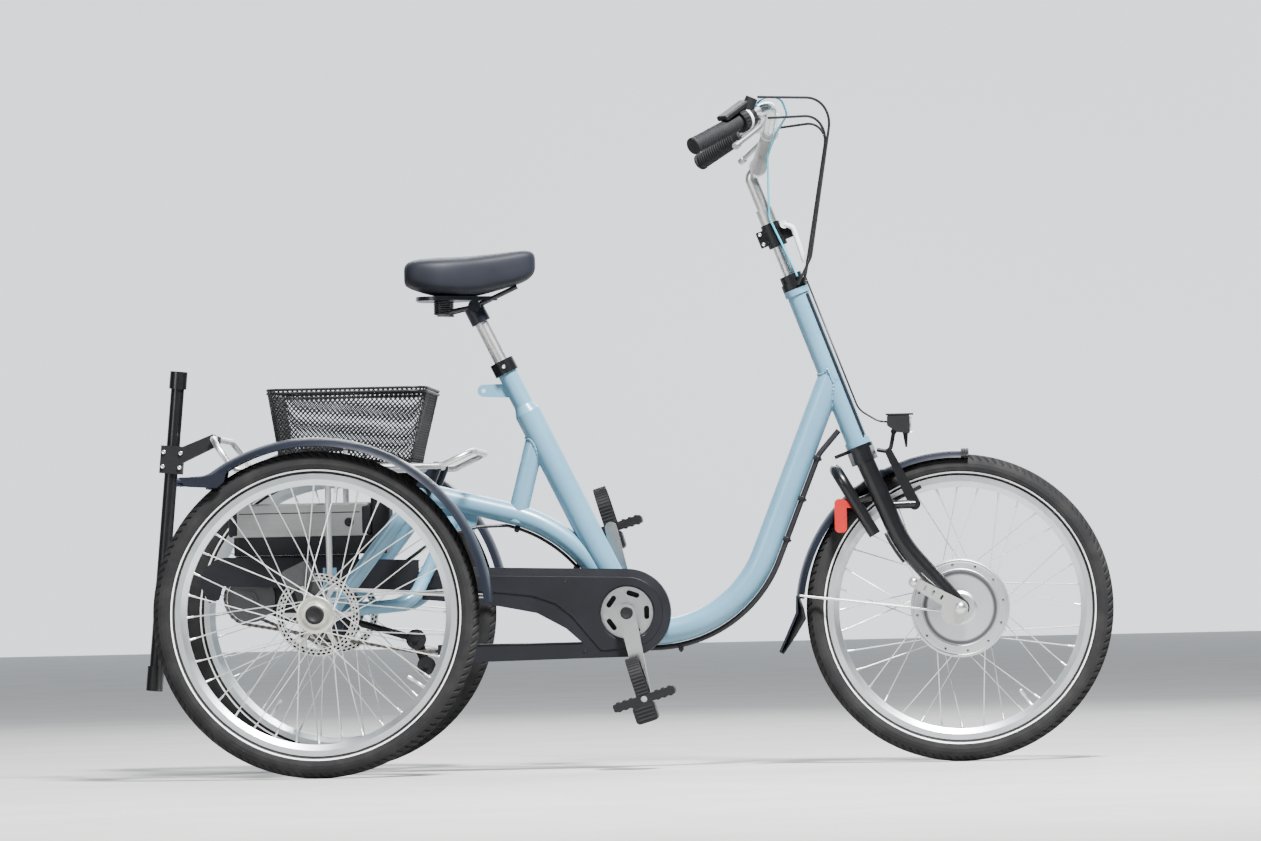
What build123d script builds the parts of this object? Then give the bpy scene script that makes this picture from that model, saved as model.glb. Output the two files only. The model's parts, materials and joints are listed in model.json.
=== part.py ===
from build123d import *

import os
from math import atan2, cos, degrees, radians, sin

os.makedirs("parts", exist_ok=True)

# An electric adult tricycle: a steered front wheel with a motor in its hub, and two rear wheels.
# Millimetres, with +X forward, +Y to the rider's left, +Z up and the ground at Z 0.
# Each x counts forward from the rear axle; spot and side_plane move it to the machine's middle.

# Wheels
wheelbase = 1237
track = 650
front_tyre_r = 300
front_tyre_w = 47
front_rim_r = 258
rear_tyre_r = 314
rear_tyre_w = 44
rear_rim_r = 271
tread_w = 24
tread_drop = 3.5
tyre_bulge_up = 17
tyre_bead_w = 27
rim_w = 30
rim_bed_w = 14
rim_depth = 22
brake_track = 11
spoke_d = 2.4
spokes_per_flange = 18
motor_r = 97
motor_half_w = 37
motor_rim_half_w = 28
motor_cross_angle = 20
front_axle_r = 7
front_axle_half_l = 80
hub_flange_r = 36
hub_flange_out = 28
hub_flange_t = 4
hub_barrel_r = 19
hub_cap_r = 18.5
hub_cap_out = 47
hub_cross_angle = 60
rotor_r = 80
rotor_in = 40
rotor_t = 2
rotor_band = 15
rotor_seat_r = 22
rotor_seat_in = 46
axle_shaft_r = 8.5
axle_shaft_depth = 90

# Clearances
seat_gap = 0.3
weld_gap = 0.2
running_gap = 0.06

# Stick holder, whose foot is the rearmost point of the machine
stick_x = -331
stick_y = 175 - track / 2
stick_z = 172
stick_lean = 5.6
stick_l = 622
stick_tube_r = 13
stick_bore_r = 10.5
stick_cup_r = 17
stick_cup_l = 48
stick_floor_t = 8
stick_clamp_up = 450
stick_clamp_l = 54

# Steering head
head_low_x = wheelbase - 191
head_low_z = 620
head_angle = 69.4
head_l = 331
head_r = 22
head_bore_r = 17
head_cup_r = 25
head_cup_l = 12
steerer_r = 14.3
crown_drop = 16
crown_t = 26
lower_plate_t = 7
top_ring_l = 30
column_r = 12.5
column_top = 492
column_clamp_at = 445
column_clamp_l = 48
column_clamp_r = 19
steer_limit_gap = 0.4

# Frame tubes
bb_x = 588
bb_z = 304
bb_r = 22.5
bb_half_l = 36.5
down_r = 25
down_head_up = 146
down_corner_x = wheelbase - 439
down_corner_z = 265
down_end_x = 566
down_bend = 235
seat_x = 591
seat_angle = 64.1
seat_low_r = 25.5
seat_high_r = 19
seat_tube_l = 553
seat_swage_at = seat_tube_l - 113
seat_swage_l = 16
seat_post_r = 13.6
seat_post_depth = 120
seat_post_top = seat_tube_l + 115
tab_up = seat_tube_l - 36
tab_back = 57
tab_r = 12
tab_t = 8
tab_hole_r = 4.25
arch_r = 21
arch_corner_x = 474
arch_corner_z = 475
arch_bend = 285
brace_r = 19
hoop_r = 15
hoop_y = track / 2 - 95
hoop_x = 192
hoop_z = 540
hoop_bend = 60
lower_stay_r = 13
lower_stay_turn_x = 175
lower_stay_turn_y = track / 2 - 135
lower_stay_turn_z = 330
lower_stay_bend = 60
gusset_t = 8
brace_x = 372
brace_z = 486
brace_up = seat_swage_at - 42
gusset_x = 246
gusset_z = 490
housing_r = 22
housing_half_l = track / 2 - 85
bearing_r = 30
bearing_l = 16
lug_half_w = 13
lug_top_z = 404
lug_t = 6

# Rear drive
chain_y = -62
chain_w = 7
chain_t = 8
ring_pitch_r = 73
cog_x = -146
cog_z = 347
cog_pitch_r = 51
guide_x = 175
guide_z = 261
guide_r = 20
tension_x = 194
tension_z = 209
tension_r = 18
hub_shell_r = 33
hub_shell_half_l = 42
hub_plate_y = 50
hub_plate_t = 5
hub_axle_r = 5
drive_pitch_r = 34
axle_wheel_pitch_r = 62
case_out_y = -84
case_in_y = -42
case_wall = 2.5
case_nose_r = 85.7
case_window_r = 51
case_back_x = 190
case_low_back_x = 218
hood_out_y = -90
hood_in_y = -hub_plate_y - hub_plate_t / 2 - seat_gap

# Crank and pedals
crank_l = 170
crank_turn = 11.4
crank_y = 99
crank_t = 14
spindle_r = 8.5
pedal_y = 162
pedal_half_w = 46
pedal_half_l = 62
pedal_t = 16
pedal_tilt = 17
pedal_pin_r = 6
strap_up = 83
strap_w = 26
strap_t = 4
weight_down = 45

# Rear bodywork
fender_r = 341
fender_w = 70
fender_t = 2.5
fender_skirt = 17
fender_front_angle = 3
fender_rear_angle = 125
fender_flare_r = 45
fender_tab_l = 44
carrier_r = 6
carrier_bar_r = 5
carrier_y = track / 2 - 75
carrier_z = 596
carrier_back_x = -160
carrier_front_x = 242
carrier_bend = 28
leg_y = track / 2 - 71
leg_x = 22
basket_back_x = -96
basket_front_x = 215
basket_half_w = track / 2 - 90
basket_h = 151
basket_taper = 7
basket_wall = 3
basket_bar = 8
basket_cell = 34
basket_cells_x = 5
basket_cells_y = 9
basket_rows = 3
battery_back_x = -188
battery_front_x = 90
battery_z = 466
battery_h = 65
battery_half_w = 52
dock_z = 430
guard_rod_r = 4
caliper_x = -35
caliper_z = 390

# Fork, lock, lamp and front guard
torque_arm_x = -90
torque_arm_z = 52
leg_side_y = 60
fork_leg_r = 18
fork_corner_x = wheelbase - 110
fork_corner_z = 426
fork_bend = 240
guard_half_w = 30
guard_t = 2
guard_skirt = 16
lock_y = 47
lock_r = 12
lamp_x = wheelbase - 110
lamp_z = 663

# Handlebar
bar_r = 11.1
grip_r = 15.5
grip_l = 132
stem_pivot_x = wheelbase - 376
stem_pivot_z = 1170
bar_x = wheelbase - 353
bar_z = 1240

# The rearmost and the foremost point decide where the middle is.
rear_reach = -stick_x + stick_cup_r * cos(radians(stick_lean))
rear_x = -(wheelbase + front_tyre_r - rear_reach) / 2

sides = (("right", -1), ("left", 1))


def spot(x, y, z):
    """A point whose x counts from the rear axle."""
    return Vector(rear_x + x, y, z)


def side_plane(y=0):
    """The side view at y: sketch X runs forward and sketch Y runs up."""
    return Plane(origin=spot(0, y, 0), x_dir=(1, 0, 0), z_dir=(0, -1, 0))


def wheel_plane(x, y, axle_z):
    """A section through a wheel: sketch X runs along its axle and sketch Y runs up."""
    return Plane(origin=spot(x, y, axle_z), x_dir=(0, 1, 0), z_dir=(1, 0, 0))


def axle_axis(x, y, axle_z):
    return Axis(spot(x, y, axle_z), (0, 1, 0))


def on_steer(up, y=0, ahead=0):
    """A point along the steering axis, counted up from the head tube's lower end."""
    lean = radians(head_angle)
    x = head_low_x - cos(lean) * up + sin(lean) * ahead
    z = head_low_z + sin(lean) * up + cos(lean) * ahead
    return spot(x, y, z)


def on_seat(up):
    """A point along the seat tube, counted up from the crank's height."""
    lean = radians(seat_angle)
    return spot(seat_x - cos(lean) * up, 0, bb_z + sin(lean) * up)


def on_stick(up, ahead=0):
    """A point along the stick holder, counted up from its foot."""
    lean = radians(stick_lean)
    x = stick_x + sin(lean) * up + cos(lean) * ahead
    z = stick_z + cos(lean) * up - sin(lean) * ahead
    return spot(x, stick_y, z)


def rod(start, end, radius, mode=Mode.ADD):
    """A straight round bar between two points."""
    span = end - start
    with BuildSketch(Plane(origin=start, z_dir=span)) as section:
        Circle(radius)
    extrude(section.sketch, amount=span.length, mode=mode)


def bent_tube(points, bend, radius, mode=Mode.ADD):
    """A round tube along straight runs joined by tangent bends."""
    with BuildLine():
        route = FilletPolyline(*points, radius=bend)
    with BuildSketch(Plane(origin=route @ 0, z_dir=route % 0)) as section:
        Circle(radius)
    sweep(section.sketch, path=route, mode=mode)


def cross_rod(x, z, low_y, high_y, radius, mode=Mode.ADD):
    """A round bar across the machine."""
    rod(spot(x, low_y, z), spot(x, high_y, z), radius, mode)


def spoke_planes(x, y, axle_z, hub_r, hub_y, rim_r, first_angle, cross_angle):
    """Planes at the hub ends of one flange's spokes, looking along them, and their length."""
    centre = spot(x, y, axle_z)
    planes = []
    for index in range(spokes_per_flange):
        lean = 1 if index % 2 else -1
        rim_angle = radians(first_angle + index * 360 / spokes_per_flange)
        hub_angle = rim_angle - lean * radians(cross_angle)
        start = centre + Vector(hub_r * cos(hub_angle), hub_y, hub_r * sin(hub_angle))
        end = centre + Vector(rim_r * cos(rim_angle), 0, rim_r * sin(rim_angle))
        planes.append(Plane(origin=start, z_dir=end - start))
    return planes, (end - start).length


def spokes(x, y, axle_z, hub_r, hub_y, rim_r, cross_angle):
    """Both flanges' spokes, from the flange to just inside the rim."""
    half_step = 180 / spokes_per_flange
    for flange_y, first_angle in ((-hub_y, 0), (hub_y, half_step)):
        planes, length = spoke_planes(x, y, axle_z, hub_r, flange_y, rim_r, first_angle, cross_angle)
        with BuildSketch(*planes) as sections:
            RegularPolygon(radius=spoke_d / 2, side_count=5)
        extrude(sections.sketch, amount=length)


# Tyres and rims
wheel_table = (
    # name, axle x, middle y, tyre radius, tyre width, rim radius
    ("front", wheelbase, 0, front_tyre_r, front_tyre_w, front_rim_r),
    ("rear_right", 0, -track / 2, rear_tyre_r, rear_tyre_w, rear_rim_r),
    ("rear_left", 0, track / 2, rear_tyre_r, rear_tyre_w, rear_rim_r),
)

for wheel, x, y, tyre_r, tyre_w, rim_r in wheel_table:
    seat_r = rim_r + seat_gap
    wide_r = rim_r + tyre_bulge_up
    shoulder_r = tyre_r - tread_drop
    with BuildPart() as tyre:
        with BuildSketch(wheel_plane(x, y, tyre_r)):
            with BuildLine():
                Line((-tyre_bead_w / 2, seat_r), (tyre_bead_w / 2, seat_r))
                ThreePointArc((tyre_bead_w / 2, seat_r), (tyre_w / 2, wide_r), (tread_w / 2, shoulder_r))
                ThreePointArc((tread_w / 2, shoulder_r), (0, tyre_r), (-tread_w / 2, shoulder_r))
                ThreePointArc((-tread_w / 2, shoulder_r), (-tyre_w / 2, wide_r), (-tyre_bead_w / 2, seat_r))
            make_face()
        revolve(axis=axle_axis(x, y, tyre_r))
    tyre.part.label = f"{wheel}_tyre"
    export_step(tyre.part, f"parts/{wheel}_tyre.step")

    with BuildPart() as rim:
        with BuildSketch(wheel_plane(x, y, tyre_r)):
            with BuildLine():
                Polyline(
                    (-rim_w / 2, rim_r),
                    (rim_w / 2, rim_r),
                    (rim_w / 2, rim_r - brake_track),
                    (rim_bed_w / 2, rim_r - rim_depth),
                    (-rim_bed_w / 2, rim_r - rim_depth),
                    (-rim_w / 2, rim_r - brake_track),
                    close=True,
                )
            make_face()
        revolve(axis=axle_axis(x, y, tyre_r))
    rim.part.label = f"{wheel}_rim"
    export_step(rim.part, f"parts/{wheel}_rim.step")

# Front hub: a motor drum with stepped covers, laced to the rim
front_spoke_end = front_rim_r - rim_depth - seat_gap
with BuildPart() as front_hub:
    with BuildSketch(wheel_plane(wheelbase, 0, front_tyre_r)):
        with BuildLine():
            Polyline(
                (0, front_axle_r + running_gap),
                (motor_half_w, front_axle_r + running_gap),
                (motor_half_w, 28),
                (motor_half_w - 3, 33),
                (motor_half_w - 5, 70),
                (motor_rim_half_w + 2, 88),
                (motor_rim_half_w, motor_r),
                (0, motor_r),
                close=True,
            )
        make_face()
        mirror(about=Plane.YZ)
    revolve(axis=axle_axis(wheelbase, 0, front_tyre_r))
    spokes(wheelbase, 0, front_tyre_r, motor_r - 4, motor_rim_half_w - 5, front_spoke_end, motor_cross_angle)
front_hub.part.label = "front_hub"
export_step(front_hub.part, "parts/front_hub.step")

# Rear hubs: two flanges, spokes, a brake rotor and the shaft that turns in the axle housing
rear_spoke_end = rear_rim_r - rim_depth - seat_gap
shaft_end_y = housing_half_l + bearing_l - axle_shaft_depth
for side_name, side in sides:
    hub_y = side * track / 2
    rotor_y = side * (track / 2 - rotor_in)
    with BuildPart() as rear_hub:
        with BuildSketch(wheel_plane(0, hub_y, rear_tyre_r)):
            with BuildLine():
                Polyline(
                    (-side * rotor_seat_in, 0),
                    (-side * rotor_seat_in, rotor_seat_r),
                    (-side * (hub_flange_out + hub_flange_t), rotor_seat_r),
                    (-side * (hub_flange_out + hub_flange_t), hub_flange_r),
                    (-side * hub_flange_out, hub_flange_r),
                    (-side * hub_flange_out, hub_barrel_r),
                    (side * hub_flange_out, hub_barrel_r),
                    (side * hub_flange_out, hub_flange_r),
                    (side * (hub_flange_out + hub_flange_t), hub_flange_r),
                    (side * (hub_flange_out + hub_flange_t), hub_cap_r),
                    (side * hub_cap_out, hub_cap_r),
                    (side * hub_cap_out, 0),
                    close=True,
                )
            make_face()
        revolve(axis=axle_axis(0, hub_y, rear_tyre_r))
        flange_mid = hub_flange_out + hub_flange_t / 2
        spokes(0, hub_y, rear_tyre_r, hub_flange_r - 5, flange_mid, rear_spoke_end, hub_cross_angle)
        with BuildSketch(side_plane(rotor_y)):
            with Locations((0, rear_tyre_r)):
                Circle(rotor_r)
                Circle(rotor_r - rotor_band, mode=Mode.SUBTRACT)
                Circle(rotor_seat_r + 6)
                with PolarLocations(rotor_r / 2, 6):
                    Rectangle(rotor_r - rotor_band, 9)
        extrude(amount=rotor_t / 2, both=True)
        rod(spot(0, hub_y, rear_tyre_r), spot(0, side * shaft_end_y, rear_tyre_r), axle_shaft_r)
    rear_hub.part.label = f"rear_{side_name}_hub"
    export_step(rear_hub.part, f"parts/rear_{side_name}_hub.step")

# Head tube with its bearing cups
with BuildPart() as head_tube:
    rod(on_steer(0), on_steer(head_l), head_r)
    rod(on_steer(0), on_steer(head_cup_l), head_cup_r)
    rod(on_steer(head_l - head_cup_l), on_steer(head_l), head_cup_r)
    rod(on_steer(head_cup_l), on_steer(head_l - head_cup_l), head_bore_r, Mode.SUBTRACT)
    rod(on_steer(0), on_steer(head_l), steerer_r + running_gap, Mode.SUBTRACT)
head_tube.part.label = "head_tube"
export_step(head_tube.part, "parts/head_tube.step")

# Down tube: from the steering head down and back under the crank
down_points = (
    on_steer(down_head_up),
    spot(down_corner_x, 0, down_corner_z),
    spot(down_end_x, 0, down_corner_z),
)
with BuildPart() as down_tube:
    bent_tube(down_points, down_bend, down_r)
    rod(on_steer(0), on_steer(head_l), head_r + weld_gap, Mode.SUBTRACT)
    cross_rod(bb_x, bb_z, -bb_half_l, bb_half_l, bb_r + weld_gap, Mode.SUBTRACT)
    rod(on_seat(0), on_seat(seat_swage_at), seat_low_r + weld_gap, Mode.SUBTRACT)
down_tube.part.label = "down_tube"
export_step(down_tube.part, "parts/down_tube.step")

def behind_seat(up, back):
    """The x from the rear axle and the z of a point up along the seat tube and square back from it."""
    foot = on_seat(up)
    slope = radians(seat_angle)
    return (foot.X - rear_x - back * sin(slope), foot.Z - back * cos(slope))


# Seat tube: wide below, swaged down for the seat post, with the crank's bearing shell and a tab behind
seat_plane = Plane(origin=on_seat(0), x_dir=(0, 1, 0), z_dir=on_seat(1) - on_seat(0))
with BuildPart() as seat_tube:
    rod(on_seat(0), on_seat(seat_swage_at), seat_low_r)
    with BuildSketch(seat_plane.offset(seat_swage_at)):
        Circle(seat_low_r)
    with BuildSketch(seat_plane.offset(seat_swage_at + seat_swage_l)):
        Circle(seat_high_r)
    loft()
    rod(on_seat(seat_swage_at + seat_swage_l), on_seat(seat_tube_l), seat_high_r)
    cross_rod(bb_x, bb_z, -bb_half_l, bb_half_l, bb_r)
    with BuildSketch(side_plane(0)):
        with Locations(behind_seat(tab_up, tab_back)):
            Circle(tab_r)
        with Locations(behind_seat(tab_up - tab_back / 2, 0)):
            Circle(tab_r + 2)
        make_hull()
        with Locations(behind_seat(tab_up, tab_back)):
            Circle(tab_hole_r, mode=Mode.SUBTRACT)
    extrude(amount=tab_t / 2, both=True)
    rod(on_seat(seat_tube_l - seat_post_depth), on_seat(seat_tube_l), seat_post_r + seat_gap, Mode.SUBTRACT)
    cross_rod(bb_x, bb_z, -bb_half_l, bb_half_l, spindle_r + running_gap, Mode.SUBTRACT)
seat_tube.part.label = "seat_tube"
export_step(seat_tube.part, "parts/seat_tube.step")

# Arch tube from the seat tube back to the rear hoop, with a brace and a gusset under it
arch_points = (spot(566, 0, 324), spot(arch_corner_x, 0, arch_corner_z), spot(hoop_x, 0, hoop_z + 6))
hoop_points = (
    spot(8, -hoop_y, 302),
    spot(hoop_x, -hoop_y, hoop_z),
    spot(hoop_x, hoop_y, hoop_z),
    spot(8, hoop_y, 302),
)
with BuildPart() as arch_whole:
    bent_tube(arch_points, arch_bend, arch_r)
    rod(spot(brace_x, 0, brace_z), on_seat(brace_up), brace_r)
    with BuildSketch(side_plane(0)):
        with BuildLine():
            Polyline((228, 540), (228, 500), (244, 468), (290, 468), (306, 530), close=True)
        make_face()
    extrude(amount=gusset_t / 2, both=True)
    rod(on_seat(0), on_seat(seat_swage_at), seat_low_r + weld_gap, Mode.SUBTRACT)
    bent_tube(hoop_points, hoop_bend, hoop_r + weld_gap, Mode.SUBTRACT)
    cross_rod(bb_x, bb_z, -bb_half_l, bb_half_l, bb_r + weld_gap, Mode.SUBTRACT)
with BuildPart() as arch_tube:
    add(arch_whole.solids().sort_by(SortBy.VOLUME)[-1])
arch_tube.part.label = "arch_tube"
export_step(arch_tube.part, "parts/arch_tube.step")

# Axle housing with a bearing and a carrier lug at each end
with BuildPart() as axle_housing:
    cross_rod(0, rear_tyre_r, -housing_half_l, housing_half_l, housing_r)
    for side_name, side in sides:
        bearing_y = side * housing_half_l
        end_y = side * (housing_half_l + bearing_l)
        cross_rod(0, rear_tyre_r, bearing_y, end_y, bearing_r)
        with BuildSketch(side_plane(bearing_y + side * bearing_l / 2)):
            with BuildLine():
                Polyline(
                    (leg_x - 28, rear_tyre_r + 14),
                    (leg_x + 2, rear_tyre_r + 14),
                    (leg_x + lug_half_w, rear_tyre_r + 36),
                    (leg_x + lug_half_w, lug_top_z),
                    (leg_x - lug_half_w, lug_top_z),
                    (leg_x - lug_half_w, rear_tyre_r + 36),
                    close=True,
                )
            make_face()
        extrude(amount=lug_t / 2, both=True)
        bore_y = side * shaft_end_y
        cross_rod(0, rear_tyre_r, bore_y, end_y, axle_shaft_r + running_gap, Mode.SUBTRACT)
axle_housing.part.label = "axle_housing"
export_step(axle_housing.part, "parts/axle_housing.step")

# Rear hoop: one bent tube from axle end to axle end, under the carrier
with BuildPart() as rear_hoop:
    bent_tube(hoop_points, hoop_bend, hoop_r)
    housing_end = housing_half_l + bearing_l
    cross_rod(0, rear_tyre_r, -housing_end, housing_end, housing_r + weld_gap, Mode.SUBTRACT)
    for side_name, side in sides:
        low_y = side * (housing_half_l - weld_gap)
        cross_rod(0, rear_tyre_r, low_y, side * 2 * housing_end, bearing_r + weld_gap, Mode.SUBTRACT)
rear_hoop.part.label = "rear_hoop"
export_step(rear_hoop.part, "parts/rear_hoop.step")

# Lower stays from the gusset to the axle housing
with BuildPart() as lower_stays:
    for side_name, side in sides:
        stay_points = (
            spot(0, side * lower_stay_turn_y, rear_tyre_r + 4),
            spot(lower_stay_turn_x, side * lower_stay_turn_y, lower_stay_turn_z),
            spot(gusset_x, side * (gusset_t / 2 + weld_gap), gusset_z),
        )
        bent_tube(stay_points, lower_stay_bend, lower_stay_r)
    cross_rod(0, rear_tyre_r, -housing_half_l, housing_half_l, housing_r + weld_gap, Mode.SUBTRACT)
    with BuildSketch(side_plane(0)):
        with Locations((gusset_x, gusset_z)):
            Rectangle(200, 200)
    extrude(amount=gusset_t / 2 + weld_gap, both=True, mode=Mode.SUBTRACT)
    bent_tube(arch_points, arch_bend, arch_r + weld_gap, Mode.SUBTRACT)
lower_stays.part.label = "lower_stays"
export_step(lower_stays.part, "parts/lower_stays.step")

# Gear hub behind the axle, with the cog that the chain drives and the cog that drives the axle
with BuildPart() as gear_hub:
    cross_rod(cog_x, cog_z, -hub_shell_half_l, hub_shell_half_l, hub_shell_r)
    cross_rod(cog_x, cog_z, -hub_plate_y - 24, hub_plate_y + 24, hub_axle_r)
    cross_rod(cog_x, cog_z, chain_y - 1.5, chain_y + 1.5, cog_pitch_r - chain_t / 2 - seat_gap)
    cross_rod(cog_x, cog_z, -chain_y - 1.5, -chain_y + 1.5, drive_pitch_r - chain_t / 2 - seat_gap)
    cross_rod(cog_x, cog_z, chain_y - 7, chain_y + 7, 13)
    cross_rod(cog_x, cog_z, -chain_y - 7, -chain_y + 7, 13)
gear_hub.part.label = "gear_hub"
export_step(gear_hub.part, "parts/gear_hub.step")

# Plates that carry the gear hub and the battery dock on the axle housing
with BuildPart() as hub_plates:
    for plate_y in (-hub_plate_y, hub_plate_y):
        with BuildSketch(side_plane(plate_y)):
            with BuildLine():
                Polyline(
                    (cog_x - 36, cog_z - 15),
                    (cog_x + 18, cog_z - 25),
                    (-30, rear_tyre_r - 32),
                    (30, rear_tyre_r - 32),
                    (46, rear_tyre_r + 16),
                    (60, dock_z),
                    (cog_x - 30, dock_z),
                    close=True,
                )
            make_face()
        extrude(amount=hub_plate_t / 2, both=True)
    cross_rod(0, rear_tyre_r, -100, 100, housing_r + weld_gap, Mode.SUBTRACT)
    cross_rod(cog_x, cog_z, -100, 100, hub_axle_r + weld_gap, Mode.SUBTRACT)
hub_plates.part.label = "hub_plates"
export_step(hub_plates.part, "parts/hub_plates.step")

# Differential on the axle housing, a plain drum with its chain wheel
with BuildPart() as differential:
    cross_rod(0, rear_tyre_r, -chain_y - 1.5, -chain_y + 1.5, axle_wheel_pitch_r - chain_t / 2 - seat_gap)
    cross_rod(0, rear_tyre_r, -chain_y + 1.5, -chain_y + 50, 46)
    cross_rod(0, rear_tyre_r, -chain_y - 2, -chain_y + 51, housing_r + weld_gap, Mode.SUBTRACT)
differential.part.label = "differential"
export_step(differential.part, "parts/differential.step")


def chain_loop(plane, wheels, grow):
    """The area inside a chain that runs round some wheels, grown by a distance."""
    with BuildSketch(plane) as area:
        for wheel_x, wheel_z, pitch_r in wheels:
            with Locations((wheel_x, wheel_z)):
                Circle(pitch_r + grow)
        make_hull()
    return area.sketch


# Chains: the long one from the crank, and the short one from the gear hub to the axle
long_chain_wheels = (
    # x, z, pitch radius
    (bb_x, bb_z, ring_pitch_r),
    (cog_x, cog_z, cog_pitch_r),
    (guide_x, guide_z, guide_r + chain_t / 2),
)
short_chain_wheels = (
    (cog_x, cog_z, drive_pitch_r),
    (0, rear_tyre_r, axle_wheel_pitch_r),
)
with BuildPart() as chains:
    for plane_y, wheels in ((chain_y, long_chain_wheels), (-chain_y, short_chain_wheels)):
        outside = chain_loop(side_plane(plane_y), wheels, chain_t / 2)
        extrude(outside, amount=chain_w / 2, both=True)
        inside = chain_loop(side_plane(plane_y), wheels, -chain_t / 2)
        extrude(inside, amount=chain_w / 2, both=True, mode=Mode.SUBTRACT)
chains.part.label = "chains"
export_step(chains.part, "parts/chains.step")

# Tensioner: an arm from the axle housing with a guide pulley above the chain and one below it
with BuildPart() as tensioner:
    cross_rod(guide_x, guide_z, chain_y - 4, chain_y + 4, guide_r - seat_gap)
    cross_rod(tension_x, tension_z, chain_y - 4, chain_y + 4, tension_r)
    cross_rod(guide_x, guide_z, chain_y - 8, chain_y + 14, 5)
    cross_rod(tension_x, tension_z, chain_y - 8, chain_y + 14, 5)
    with BuildSketch(side_plane(chain_y + 12)):
        with Locations((guide_x, guide_z)):
            Circle(11)
        with Locations((tension_x, tension_z)):
            Circle(9)
        make_hull()
    extrude(amount=2, both=True)
    rod(spot(guide_x, chain_y + 10, guide_z), spot(guide_x, -hub_plate_y + 20, guide_z), 7)
    rod(spot(guide_x, -hub_plate_y + 14, guide_z), spot(0, -hub_plate_y + 14, rear_tyre_r), 7)
    cross_rod(0, rear_tyre_r, -100, 100, housing_r + weld_gap, Mode.SUBTRACT)
tensioner.part.label = "tensioner"
export_step(tensioner.part, "parts/tensioner.step")


def case_area(shrink):
    """The chain case's outline: a round nose and two arms, shrunk by the wall where asked."""
    with BuildSketch(side_plane(case_in_y)) as area:
        with Locations((bb_x, bb_z)):
            Circle(case_nose_r)
        with BuildLine():
            Polyline(
                (case_back_x, 402),
                (bb_x, bb_z + case_nose_r),
                (bb_x, 245),
                (502, 246),
                (469, 276),
                (413, 307),
                (339, 322),
                (case_back_x, 338),
                close=True,
            )
        make_face()
        with BuildLine():
            Polyline(
                (case_low_back_x, 213),
                (bb_x, bb_z - case_nose_r),
                (bb_x, 249),
                (case_low_back_x, 249),
                close=True,
            )
        make_face()
        if shrink:
            offset(amount=-shrink)
    return area.sketch


# Chain case: an outer shell over the long chain, with a round window at the crank
with BuildPart() as chain_case:
    extrude(case_area(0), amount=case_in_y - case_out_y)
    extrude(case_area(case_wall), amount=case_in_y - case_out_y - case_wall, mode=Mode.SUBTRACT)
    with BuildSketch(side_plane(case_in_y)):
        with Locations((case_back_x, 370)):
            Rectangle(4 * case_wall, 57)
        with Locations((case_low_back_x, 231)):
            Rectangle(4 * case_wall, 30)
    extrude(amount=case_in_y - case_out_y - case_wall, mode=Mode.SUBTRACT)
    cross_rod(bb_x, bb_z, case_out_y - 1, case_out_y + case_wall + 1, case_window_r, Mode.SUBTRACT)
    cross_rod(bb_x, bb_z, case_in_y, case_in_y + case_wall, case_nose_r)
    cross_rod(bb_x, bb_z, case_in_y, -bb_half_l - weld_gap, 20)
    cross_rod(bb_x, bb_z, case_in_y - 1, -bb_half_l, spindle_r + 3.5, Mode.SUBTRACT)
chain_case.part.label = "chain_case"
export_step(chain_case.part, "parts/chain_case.step")

# Rear hood over the chain's upper run and the gear hub's cog, open below
with BuildPart() as rear_hood:
    with BuildSketch(side_plane(hood_in_y)):
        with BuildLine():
            Line((case_back_x - 5, 416), (-185, 428))
            ThreePointArc((-185, 428), (-229, 410), (-242, 372))
            Polyline((-242, 372), (-226, 340), (-206, 346), (-198, 372), (case_back_x - 5, 355))
            Line((case_back_x - 5, 355), (case_back_x - 5, 416))
        make_face()
    extrude(amount=hood_in_y - hood_out_y)
    with BuildSketch(side_plane(hood_in_y)):
        with BuildLine():
            Line((case_back_x, 416 - case_wall), (-185, 428 - case_wall))
            ThreePointArc((-185, 428 - case_wall), (-227, 408), (-242 + case_wall, 372))
            Polyline((-242 + case_wall, 372), (-222, 330), (case_back_x, 330))
            Line((case_back_x, 330), (case_back_x, 416 - case_wall))
        make_face()
    extrude(amount=hood_in_y - hood_out_y - case_wall, mode=Mode.SUBTRACT)
rear_hood.part.label = "rear_hood"
export_step(rear_hood.part, "parts/rear_hood.step")


def pedal_spot(side, y):
    """A point on a pedal's axle; the right crank hangs down and a little forward."""
    reach_x = -side * crank_l * sin(radians(crank_turn))
    reach_z = side * crank_l * cos(radians(crank_turn))
    return spot(bb_x + reach_x, y, bb_z + reach_z)


# Crankset: spindle, both arms, pedal pins and the chainring
ring_tip_r = ring_pitch_r - chain_t / 2 - seat_gap
with BuildPart() as crankset:
    cross_rod(bb_x, bb_z, -crank_y, crank_y, spindle_r)
    for side_name, side in sides:
        pedal_pin = pedal_spot(side, side * crank_y)
        with BuildSketch(side_plane(side * crank_y)):
            with Locations((bb_x, bb_z)):
                Circle(17)
            with Locations((pedal_pin.X - rear_x, pedal_pin.Z)):
                Circle(12)
            make_hull()
        extrude(amount=crank_t / 2, both=True)
        rod(pedal_pin, pedal_spot(side, side * (pedal_y + pedal_half_w - 10)), pedal_pin_r)
    cross_rod(bb_x, bb_z, -crank_y, chain_y, 16)
    with BuildSketch(side_plane(chain_y)):
        with Locations((bb_x, bb_z)):
            Circle(ring_tip_r)
            with PolarLocations(38, 5):
                SlotOverall(26, 10, rotation=90, mode=Mode.SUBTRACT)
    extrude(amount=1.5, both=True)
crankset.part.label = "crankset"
export_step(crankset.part, "parts/crankset.step")

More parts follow.
